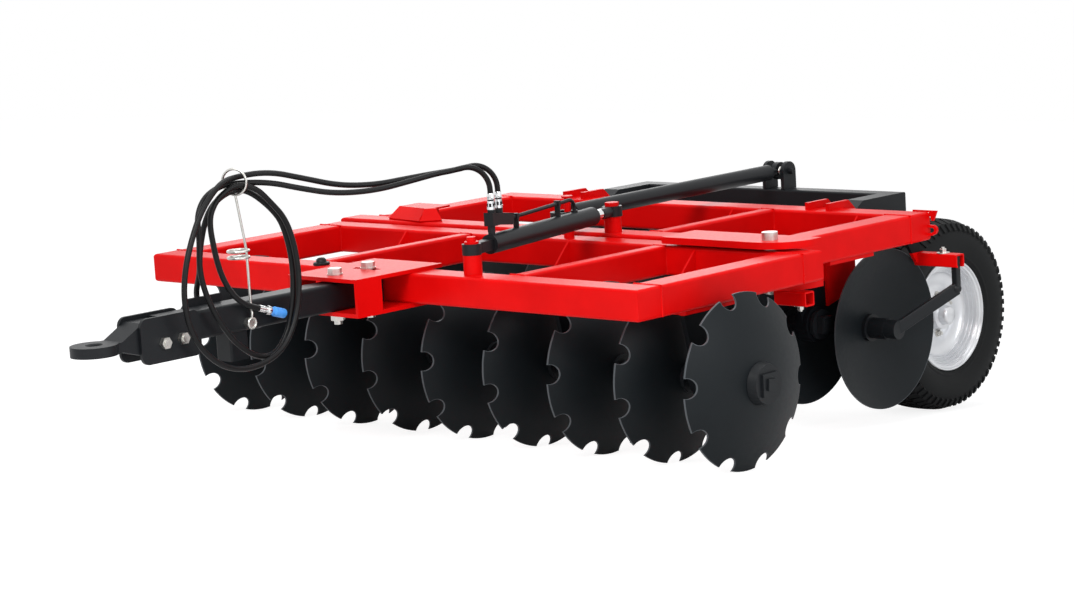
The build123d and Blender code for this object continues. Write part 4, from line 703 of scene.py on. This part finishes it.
HOSE_B = [
    (0.3524, -0.4198, 0.9195),
    (0.3524, -0.4215, 0.9385),
    (0.3511, -0.4268, 0.9567),
    (0.3485, -0.4356, 0.9732),
    (0.3448, -0.4474, 0.9877),
    (0.3400, -0.4618, 0.9991),
    (0.3345, -0.4781, 1.0072),
    (0.3285, -0.4956, 1.0116),
    (0.3222, -0.5135, 1.0120),
    (0.3135, -0.5376, 1.0072),
    (0.3036, -0.5650, 1.0005),
    (0.2886, -0.6118, 0.9933),
    (0.2647, -0.6763, 0.9841),
    (0.2335, -0.7574, 0.9706),
    (0.1947, -0.8591, 0.9530),
    (0.1484, -0.9852, 0.9516),
    (0.1047, -1.1161, 0.9803),
    (0.0680, -1.2418, 1.0059),
    (0.0265, -1.3571, 0.9901),
    (0.0642, -1.4573, 0.9702),
    (0.0742, -1.5428, 0.8841),
    (0.0802, -1.5940, 0.7802),
    (0.0852, -1.6259, 0.6792),
    (0.0892, -1.6318, 0.5769),
    (0.0912, -1.6027, 0.4786),
    (0.0922, -1.5315, 0.3931),
    (0.0922, -1.4253, 0.3418),
    (0.0922, -1.3011, 0.3473),
    (0.0922, -1.1946, 0.4003),
    (0.0902, -1.1349, 0.5078),
    (0.0852, -1.1174, 0.6305),
    (0.0782, -1.1334, 0.7513),
    (0.0712, -1.1696, 0.8452),
    (0.0712, -1.2419, 0.9070),
    (0.0662, -1.2908, 0.9488),
    (0.0444, -1.3533, 0.9674),
    (0.0402, -1.4145, 0.9399),
    (0.0382, -1.4573, 0.9020),
    (0.0382, -1.4794, 0.8458),
    (0.0422, -1.4614, 0.7486),
    (0.0442, -1.4400, 0.6769),
    (0.0452, -1.4085, 0.6212),
    (0.0462, -1.3702, 0.5799),
    (0.0472, -1.3226, 0.5522),
    (0.0472, -1.2713, 0.5407),
]


def route_curve(name, points):
    """A NURBS line whose control points are the route."""
    curve = bpy.data.curves.new(name, "CURVE")
    curve.dimensions = "3D"
    curve.resolution_u = 12
    spline = curve.splines.new("NURBS")
    spline.points.add(len(points) - 1)
    for held, point in zip(spline.points, points):
        held.co = (*point, 1.0)
    spline.order_u = 3
    spline.use_endpoint_u = True
    holder = bpy.data.objects.new(name, curve)
    bpy.context.scene.collection.objects.link(holder)
    return holder


def read_line(holder):
    """The points that Blender draws along a bare curve."""
    bpy.context.view_layer.update()
    mesh = bpy.data.meshes.new_from_object(holder.evaluated_get(bpy.context.evaluated_depsgraph_get()))
    return [vertex.co.copy() for vertex in mesh.vertices]


def tube_mesh(name, points, radius, sides, material):
    """A closed tube round a line of points, turned along it without twist."""
    shape = bmesh.new()
    tangent = (points[1] - points[0]).normalized()
    side = tangent.orthogonal().normalized()
    rings = []
    for number, point in enumerate(points):
        before = points[max(number - 1, 0)]
        after = points[min(number + 1, len(points) - 1)]
        fresh = (after - before).normalized()
        side = (tangent.rotation_difference(fresh) @ side).normalized()
        side = (side - fresh * side.dot(fresh)).normalized()
        tangent = fresh
        lift = tangent.cross(side)
        ring = []
        for k in range(sides):
            angle = 2 * math.pi * k / sides
            ring.append(shape.verts.new(point + (side * math.cos(angle) + lift * math.sin(angle)) * radius))
        rings.append(ring)
    for first, second in zip(rings, rings[1:]):
        for k in range(sides):
            after = (k + 1) % sides
            shape.faces.new((first[k], first[after], second[after], second[k]))
    shape.faces.new(list(reversed(rings[0])))
    shape.faces.new(rings[-1])
    mesh = bpy.data.meshes.new(name)
    bmesh.ops.recalc_face_normals(shape, faces=shape.faces)
    shape.to_mesh(mesh)
    shape.free()
    mesh.materials.append(finish(material))
    smooth_by_angle(mesh, 40.0)
    piece = bpy.data.objects.new(name, mesh)
    bpy.context.scene.collection.objects.link(piece)
    return piece


# along the hose's end, radius: crimped ferrule with its hexagon's collar
FERRULE_PROFILE = [
    (0.000, 0.0101), (0.000, 0.0118), (0.002, 0.0120), (0.005, 0.0120), (0.006, 0.0112), (0.009, 0.0112),
    (0.010, 0.0120), (0.014, 0.0120), (0.015, 0.0112), (0.018, 0.0112), (0.019, 0.0120), (0.024, 0.0120),
    (0.026, 0.0105), (0.036, 0.0105), (0.036, 0.0150), (0.038, 0.0158), (0.050, 0.0158), (0.052, 0.0150),
    (0.0545, 0.0100), (0.0545, 0.0), (0.000, 0.0),
]
COUPLER_PROFILE = [
    (0.0546, 0.0), (0.0546, 0.0128), (0.0560, 0.0134), (0.0670, 0.0134), (0.0680, 0.0162), (0.0700, 0.0170),
    (0.0780, 0.0170), (0.0790, 0.0160), (0.0830, 0.0160), (0.0840, 0.0170), (0.0880, 0.0170), (0.0890, 0.0160),
    (0.0930, 0.0160), (0.0940, 0.0170), (0.1120, 0.0170), (0.1170, 0.0162), (0.1195, 0.0140), (0.1200, 0.0105),
    (0.1200, 0.0090), (0.1120, 0.0085), (0.1120, 0.0),
]


class HARROW_OT_hoses(Operator):
    """The two oil hoses from the cylinder's ferrules to their couplers"""

    bl_idname = "harrow.hoses"
    bl_label = "Hoses"

    def execute(self, context):
        radius = sizes().hose_d / 2
        for name, node, route in (("front", "hose_a", HOSE_A), ("back", "hose_b", HOSE_B)):
            line = route_curve("hose_" + name + "_route", [Vector(point) for point in route])
            points = read_line(line)
            piece = tube_mesh("hose_" + name, points, radius, 14, "hose")
            bpy.data.objects.remove(line)
            end = Vector(route[-1])
            on = (end - Vector(route[-2])).normalized()
            ferrule = mesh_object(
                "ferrule_" + name, lambda shape: revolve(shape, end, on, FERRULE_PROFILE, 40), "chrome", 30.0
            )
            coupler = mesh_object(
                "coupler_" + name, lambda shape: revolve(shape, end, on, COUPLER_PROFILE, 40), "coupler", 30.0
            )
            for part, slot in ((piece, "hose_rubber"), (ferrule, "chrome"), (coupler, "coupler_blue")):
                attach(part, "front_frame")
            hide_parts(node)
            if name == "front":
                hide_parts("hose_ferrules")
                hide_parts("hose_couplers")
        return {"FINISHED"}


# ---- finishes on the solid pieces ----
RED = ("front_frame", "rear_frame", "hitch_bracket", "pivot_plates", "front_posts", "rear_post", "front_hangers",
       "rear_hangers", "furrow_bracket", "side_stub", "guide_plate", "hinge_ears", "gang_web")
CHARCOAL = ("drawbar", "tow_eye", "stand_socket", "front_bearings", "rear_bearings", "furrow_arm", "furrow_hub",
            "wheel_frame", "stub_axles", "link_tube", "link_clevis", "cylinder_barrel", "rod_eye", "front_gang_shaft",
            "rear_gang_shaft")
OTHERS = {
    "front_hangers": "hanger",
    "rear_hangers": "rear_hanger",
    "furrow_bracket": "bracket",
    "front_discs": "notched",
    "rear_discs": "plain",
    "furrow_disc": "furrow",
    "cylinder_rod": "chrome",
    "cylinder_pipe": "charcoal",
    "hose_stand": "zinc",
    "hitch_bolts": "zinc",
    "pivot_pin": "zinc",
    "hinge_pins": "zinc",
    "link_ball": "zinc",
    "left_rim": "rim",
    "right_rim": "rim",
    "left_tyre": "tyre",
    "right_tyre": "tyre",
}


class HARROW_OT_paint(Operator):
    """Finishes on the frames, gangs, wheels and cylinder"""

    bl_idname = "harrow.paint"
    bl_label = "Paint"

    def execute(self, context):
        chosen = {node: "red" for node in RED}
        chosen.update({node: "charcoal" for node in CHARCOAL})
        chosen.update(OTHERS)
        for node, name in chosen.items():
            piece = frame["nodes"][node]
            piece.data.materials.clear()
            piece.data.materials.append(finish(name))
        return {"FINISHED"}


# ---- tyres ----
def wheel_centre(side):
    low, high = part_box(side + "_tyre")
    return (low + high) / 2


TYRE_PROFILE = [
    (-0.0890, 0.2140), (-0.1010, 0.2180), (-0.1090, 0.2270), (-0.1130, 0.2330), (-0.1158, 0.2340), (-0.1174, 0.2375),
    (-0.1164, 0.2410), (-0.1180, 0.2450), (-0.1245, 0.2660), (-0.1270, 0.2880),
    (-0.1255, 0.3080), (-0.1215, 0.3260), (-0.1150, 0.3410), (-0.1060, 0.3530), (-0.0920, 0.3620), (-0.0720, 0.3665),
    (-0.0470, 0.3690), (-0.0240, 0.3700), (0.0, 0.3702), (0.0240, 0.3700), (0.0470, 0.3690), (0.0720, 0.3665),
    (0.0920, 0.3620), (0.1060, 0.3530), (0.1150, 0.3410), (0.1215, 0.3260), (0.1255, 0.3080), (0.1270, 0.2880),
    (0.1245, 0.2660), (0.1180, 0.2450), (0.1164, 0.2410), (0.1174, 0.2375), (0.1158, 0.2340), (0.1130, 0.2330),
    (0.1090, 0.2270), (0.1010, 0.2180), (0.0890, 0.2140), (0.0890, 0.1992),
    (-0.0890, 0.1992),
]
# one block of each row: share of the pitch it is shifted by, corners (across, along the tread)
BLOCK_ROWS = [
    (0.0, [(-0.016, -0.011), (0.016, -0.015), (0.017, 0.011), (-0.015, 0.015)]),
    (0.5, [(0.023, -0.016), (0.054, -0.011), (0.056, 0.014), (0.022, 0.009)]),
    (0.5, [(-0.054, -0.011), (-0.023, -0.016), (-0.022, 0.009), (-0.056, 0.014)]),
    (0.1, [(0.062, -0.013), (0.104, -0.015), (0.106, 0.012), (0.061, 0.011)]),
    (0.1, [(-0.104, -0.015), (-0.062, -0.013), (-0.061, 0.011), (-0.106, 0.012)]),
]
# a shoulder bar that runs down the sidewall: corners (across, radius, along)
SHOULDER_BAR = ((0.1045, 0.3575, -0.012), (0.1045, 0.3575, 0.007), (0.1225, 0.3300, 0.004), (0.1225, 0.3300, -0.009))
ROLL_R = 0.37
BAR_ROLL_R = 0.35
BAR_SHIFT = 0.1
BAR_SINK = 0.006
BAR_RISE = 0.005
BAR_SPREAD = 0.004
WIDEST = 0.1272
OUTER_TREAD_R = 0.3782
BLOCK_SINK = 0.004
SHOULDER_ACROSS = 0.09
SHOULDER_RISE = 0.008
TAPER_ACROSS = 0.1
TAPER = 0.93


def close_block(shape, low, top):
    """Faces of a block between its foot and its top."""
    shape.faces.new(low)
    shape.faces.new(top)
    for k in range(len(low)):
        after = (k + 1) % len(low)
        shape.faces.new((low[k], low[after], top[after], top[k]))


def tread_radius(across):
    """Radius of the carcass at a distance across the tread."""
    reach = abs(across)
    rows = [(x, r) for x, r in TYRE_PROFILE if x >= 0 and r > 0.3]
    rows.sort()
    for (x0, r0), (x1, r1) in zip(rows, rows[1:]):
        if x0 <= reach <= x1 and r1 <= r0:
            return r0 + (r1 - r0) * (reach - x0) / max(x1 - x0, 1e-9)
    return rows[-1][1]


class HARROW_OT_tyres(Operator):
    """Implement tyres with lugged tread"""

    bl_idname = "harrow.tyres"
    bl_label = "Tyres"

    def execute(self, context):
        tree = repeat_tree()
        choice = sizes()
        for side, body in (("left", "left_wheel"), ("right", "right_wheel")):
            centre = wheel_centre(side)
            carcass = mesh_object(
                side + "_carcass", lambda shape: revolve(shape, centre, AXIAL, TYRE_PROFILE, 120), "tyre", 50.0
            )
            pitch = 2 * math.pi / choice.tread_blocks

            def blocks(shape):
                for shift, corners in BLOCK_ROWS:
                    low, top = [], []
                    for across, along in corners:
                        out = radial(pitch * shift + along / ROLL_R)
                        base = tread_radius(across)
                        rise = min(choice.tread_h, OUTER_TREAD_R - base)
                        if rise > 0 and abs(across) > SHOULDER_ACROSS:
                            rise = SHOULDER_RISE
                        pull = TAPER if abs(across) > TAPER_ACROSS else 1.0
                        low.append(shape.verts.new(centre + AXIAL * across + out * (base - BLOCK_SINK)))
                        top.append(shape.verts.new(centre + AXIAL * across * pull + out * (base + rise)))
                    close_block(shape, low, top)
                for way in (-1, 1):
                    low, top = [], []
                    for across, reach, along in SHOULDER_BAR:
                        out = radial(pitch * BAR_SHIFT + along / BAR_ROLL_R)
                        inner, outer = across - BAR_SINK, min(across + BAR_SPREAD, WIDEST)
                        low.append(shape.verts.new(centre + AXIAL * way * inner + out * (reach - BAR_SINK)))
                        top.append(shape.verts.new(centre + AXIAL * way * outer + out * (reach + BAR_RISE)))
                    close_block(shape, low, top)

            sector = mesh_object(side + "_block", blocks, "tyre", 0)
            tread = bake(
                sector,
                tree,
                side + "_tread",
                {"Count": choice.tread_blocks, "Centre": list(centre), "Finish": finish("tyre")},
                30.0,
            )
            for piece in (carcass, tread):
                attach(piece, body)
            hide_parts(side + "_tyre")
        return {"FINISHED"}


# ---- rims: (outward from the wheel's middle, radius) round the whole section ----
RIM_PROFILE = [
    (-0.0890, 0.1988), (0.0890, 0.1988), (0.0900, 0.2110), (0.0960, 0.2150), (0.1005, 0.2190), (0.1060, 0.2197),
    (0.1088, 0.2168), (0.1075, 0.2120), (0.1010, 0.2085), (0.0985, 0.2020), (0.0915, 0.1985), (0.0925, 0.1950),
    (0.0850, 0.1915), (0.0790, 0.1905), (0.0800, 0.1865), (0.0720, 0.1830), (0.0660, 0.1820), (0.0670, 0.1780),
    (0.0590, 0.1745), (0.0530, 0.1735), (0.0540, 0.1690), (0.0460, 0.1650), (0.0400, 0.1580),
    (0.0320, 0.1400), (0.0310, 0.1180), (0.0350, 0.0980), (0.0420, 0.0860), (0.0440, 0.0640),
    (0.0560, 0.0600), (0.0740, 0.0570), (0.0760, 0.0400), (0.0900, 0.0365), (0.1030, 0.0340), (0.1080, 0.0280),
    (0.1090, 0.0), (0.1005, 0.0), (0.1005, 0.0253), (-0.0600, 0.0253), (-0.0600, 0.0520), (0.0340, 0.0600),
    (0.0360, 0.0860), (0.0290, 0.0980), (0.0250, 0.1180), (0.0260, 0.1400), (0.0310, 0.1580), (0.0300, 0.1830),
    (0.0200, 0.1850), (-0.0840, 0.1890), (-0.0985, 0.2020), (-0.1010, 0.2085), (-0.1075, 0.2120),
    (-0.1088, 0.2168), (-0.1060, 0.2197), (-0.1005, 0.2190), (-0.0960, 0.2150), (-0.0900, 0.2110),
]
WHEEL_NUTS = 6
NUT_CIRCLE_R = 0.0755
NUT_SEAT = 0.0425
NUT_SIZE = 0.021
FIRST_NUT = math.radians(28)


class HARROW_OT_rims(Operator):
    """Stepped silver rims with hubs and wheel nuts"""

    bl_idname = "harrow.rims"
    bl_label = "Rims"

    def execute(self, context):
        tree = bolt_tree()
        for name, way in (("left", 1), ("right", -1)):
            centre = wheel_centre(name)
            rim = mesh_object(
                name + "_stepped_rim", lambda shape: revolve(shape, centre, AXIAL * way, RIM_PROFILE, 128), "rim", 40.0
            )
            rows = []
            for number in range(WHEEL_NUTS):
                out = radial(FIRST_NUT + 2 * math.pi * number / WHEEL_NUTS)
                seat = centre + AXIAL * way * NUT_SEAT + out * NUT_CIRCLE_R
                rows.append((tuple(seat), tuple(AXIAL * way), NUT_SIZE))
            nuts = bake(
                point_cloud("nut_points", rows),
                tree,
                name + "_wheel_nuts",
                {"Washer": 0.75, "Stud": 0.35, "Finish": finish("zinc")},
                30.0,
            )
            for piece, slot in ((rim, "rim_silver"), (nuts, "zinc")):
                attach(piece, name + "_wheel")
            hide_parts(name + "_rim")
        return {"FINISHED"}


# ---- braces, weld seams and end fittings ----
# body, x, beam face, top, reach forward along the bottom, height
GUSSETS = (
    ("front_frame", -748.6, 490, 357, 84, 96),
    ("front_frame", 131.3, 490, 357, 84, 96),
    ("front_frame", 755.8, 490, 354, 84, 92),
    ("rear_frame", 178.8, 1390, 363, 76, 96),
    ("rear_frame", 800.1, 1390, 363, 76, 96),
)
# the end fittings of the two hoses on the cylinder: (height over the fitting's foot, radius)
SLEEVE_PROFILE = [
    (0.0, 0.0100), (0.0, 0.0150), (0.0100, 0.0150), (0.0110, 0.0128), (0.0300, 0.0128), (0.0310, 0.0116),
    (0.0350, 0.0116), (0.0360, 0.0128), (0.0560, 0.0128), (0.0580, 0.0118), (0.0580, 0.0100),
]
SLEEVES = ((397.5, -173.7), (386.2, -125.0))
SLEEVE_FOOT = 570.0
# grommet on the front beam: (height over the beam, radius)
GROMMET_PROFILE = [
    (0.0, 0.0), (0.0, 0.0300), (0.0050, 0.0310), (0.0100, 0.0290), (0.0120, 0.0200), (0.0200, 0.0180),
    (0.0260, 0.0120), (0.0280, 0.0),
]
GROMMET = (-326, -345, 360)
# small plates that face forward: body, y of the front face, thickness, outline of (x, z)
SMALL_PLATES = (
    ("rear_frame", 1506, 8, ((975, 368), (975, 375), (1088, 375), (1071, 336), (1062, 336), (1050, 368))),
    ("rear_frame", 1494, 12, (
        (1048, 322), (1080, 321), (1090, 314), (1093, 301), (1086, 288), (1070, 281), (1048, 280),
        (1048, 290), (1068, 291), (1079, 297), (1082, 304), (1076, 311), (1048, 312),
    )),
)
# by body: faces of the beams, their top and bottom, and (x, half width) of the tubes that meet them
SEAMS = {
    "front_frame": ((-261.0, 490.0), 360.0, 252.0, ((-1195, 60), (-413, 30), (588, 30), (1195, 60))),
    "rear_frame": ((732.5, 1390.0), 370.0, 262.0, ((-1098, 60), (360, 30), (992, 60))),
}


def small_plate(shape, face, thick, outline):
    """A flat plate that faces forward."""
    close_block(shape, *([shape.verts.new(spot(x, y, z)) for x, z in outline] for y in (face, face + thick)))


def gusset(shape, x, face, top, reach, height):
    """A three-cornered plate that stands against a beam."""
    foot = top - height
    corners = ((face + 2, top), (face + 2, foot), (face - reach, foot), (face - reach, foot + 8))
    close_block(shape, *([shape.verts.new(spot(x + side, y, z)) for y, z in corners] for side in (-4.0, 4.0)))


def seam_lines(body):
    """Corners where one tube meets another, as pairs of places."""
    faces, top, bottom, tubes = SEAMS[body]
    lines = []
    for x, half in tubes:
        for face in faces:
            for side in (-half, half):
                lines.append((spot(x + side, face, bottom + 4), spot(x + side, face, top - 3)))
            lines.append((spot(x - half, face, top), spot(x + half, face, top)))
    return lines


class HARROW_OT_braces(Operator):
    """Gussets, small plates and weld seams on the frames, fittings on the cylinder, the beam's grommet"""

    bl_idname = "harrow.braces"
    bl_label = "Braces and welds"

    def execute(self, context):
        tree = weld_tree()
        for body in SEAMS:

            def plates(shape):
                for owner, *row in GUSSETS:
                    if owner == body:
                        gusset(shape, *row)
                for owner, *row in SMALL_PLATES:
                    if owner == body:
                        small_plate(shape, *row)

            braces = mesh_object(body + "_gussets", plates, "red", 0)
            lines = seam_lines(body)
            mesh = bpy.data.meshes.new("seams")
            ends = [end for line in lines for end in line]
            mesh.from_pydata(ends, [(2 * k, 2 * k + 1) for k in range(len(lines))], [])
            source = bpy.data.objects.new("seams", mesh)
            context.scene.collection.objects.link(source)
            beads = bake(
                source, tree, body + "_welds", {"Bead": sizes().weld_bead, "Seed": 7, "Finish": finish("red")}, 60.0
            )
            for piece in (braces, beads):
                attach(piece, body)

        def sleeves(shape):
            for x, y in SLEEVES:
                revolve(shape, spot(x, y, SLEEVE_FOOT), UP, SLEEVE_PROFILE, 40)

        fittings = mesh_object("cylinder_fittings", sleeves, "chrome", 30.0)
        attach(fittings, "cylinder_barrel")
        grommet = mesh_object(
            "beam_grommet", lambda shape: revolve(shape, spot(*GROMMET), UP, GROMMET_PROFILE, 40, False), "hose", 40.0
        )
        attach(grommet, "front_frame")
        return {"FINISHED"}


# ---- fasteners ----
BEARING_PLATES_X = (-1200, -345, 618)
ARM_TUBE_Y = 1530
FURROW_FOOT = (975.7, 1320.0, -55.0)


def fastener_rows():
    """Rows of (place, axis, size) by body and finish."""
    rows = {}

    def add(body, look, x, y, z, axis, size):
        rows.setdefault((body, look), []).append((tuple(spot(x, y, z)), tuple(toward(*axis)), size))

    for plate_x in BEARING_PLATES_X:
        for dx in (-30, 30):
            for y in (-90, 90):
                add("front_frame", "zinc", plate_x + dx, y, 238, (0, 0, -1), 0.024)
    add("rear_frame", "zinc", 1092, ARM_TUBE_Y, 211, (0, 0, 1), 0.024)
    add("rear_frame", "zinc", 1141.5, 530, 221, (0, 0, 1), 0.024)
    add("rear_frame", "zinc", 1200, 530, 169, (0, 0, -1), 0.022)
    add("rear_frame", "charcoal", *FURROW_FOOT, (1, 0, 0), 0.038)
    return rows


class HARROW_OT_fasteners(Operator):
    """Bolts and nuts"""

    bl_idname = "harrow.fasteners"
    bl_label = "Fasteners"

    def execute(self, context):
        tree = bolt_tree()
        for (body, look), rows in fastener_rows().items():
            points = point_cloud("points", rows)
            name = body + "_bolts_" + look
            piece = bake(points, tree, name, {"Washer": 1.05, "Stud": 0.25, "Finish": finish(look)}, 30.0)
            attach(piece, body)
        return {"FINISHED"}


class HARROW_PT_panel(Panel):
    """Lists the pieces and their sizes"""

    bl_idname = "HARROW_PT_panel"
    bl_label = "Disc harrow"
    bl_space_type = "VIEW_3D"
    bl_region_type = "UI"
    bl_category = "Disc harrow"

    def draw(self, context):
        column = self.layout.column()
        for name in HarrowSizes.__annotations__:
            column.prop(context.scene.harrow_sizes, name)
        for operator in OPERATORS:
            column.operator(operator.bl_idname)


OPERATORS = (
    HARROW_OT_stage,
    HARROW_OT_hoses,
    HARROW_OT_paint,
    HARROW_OT_tyres,
    HARROW_OT_rims,
    HARROW_OT_braces,
    HARROW_OT_fasteners,
)
CLASSES = (HarrowSizes, *OPERATORS, HARROW_PT_panel)


def register():
    for made in CLASSES:
        bpy.utils.register_class(made)
    bpy.types.Scene.harrow_sizes = PointerProperty(type=HarrowSizes)


def unregister():
    del bpy.types.Scene.harrow_sizes
    for made in reversed(CLASSES):
        bpy.utils.unregister_class(made)


def main():
    register()
    for operator in OPERATORS:
        group, name = operator.bl_idname.split(".")
        getattr(getattr(bpy.ops, group), name)()


if __name__ == "__main__":
    main()
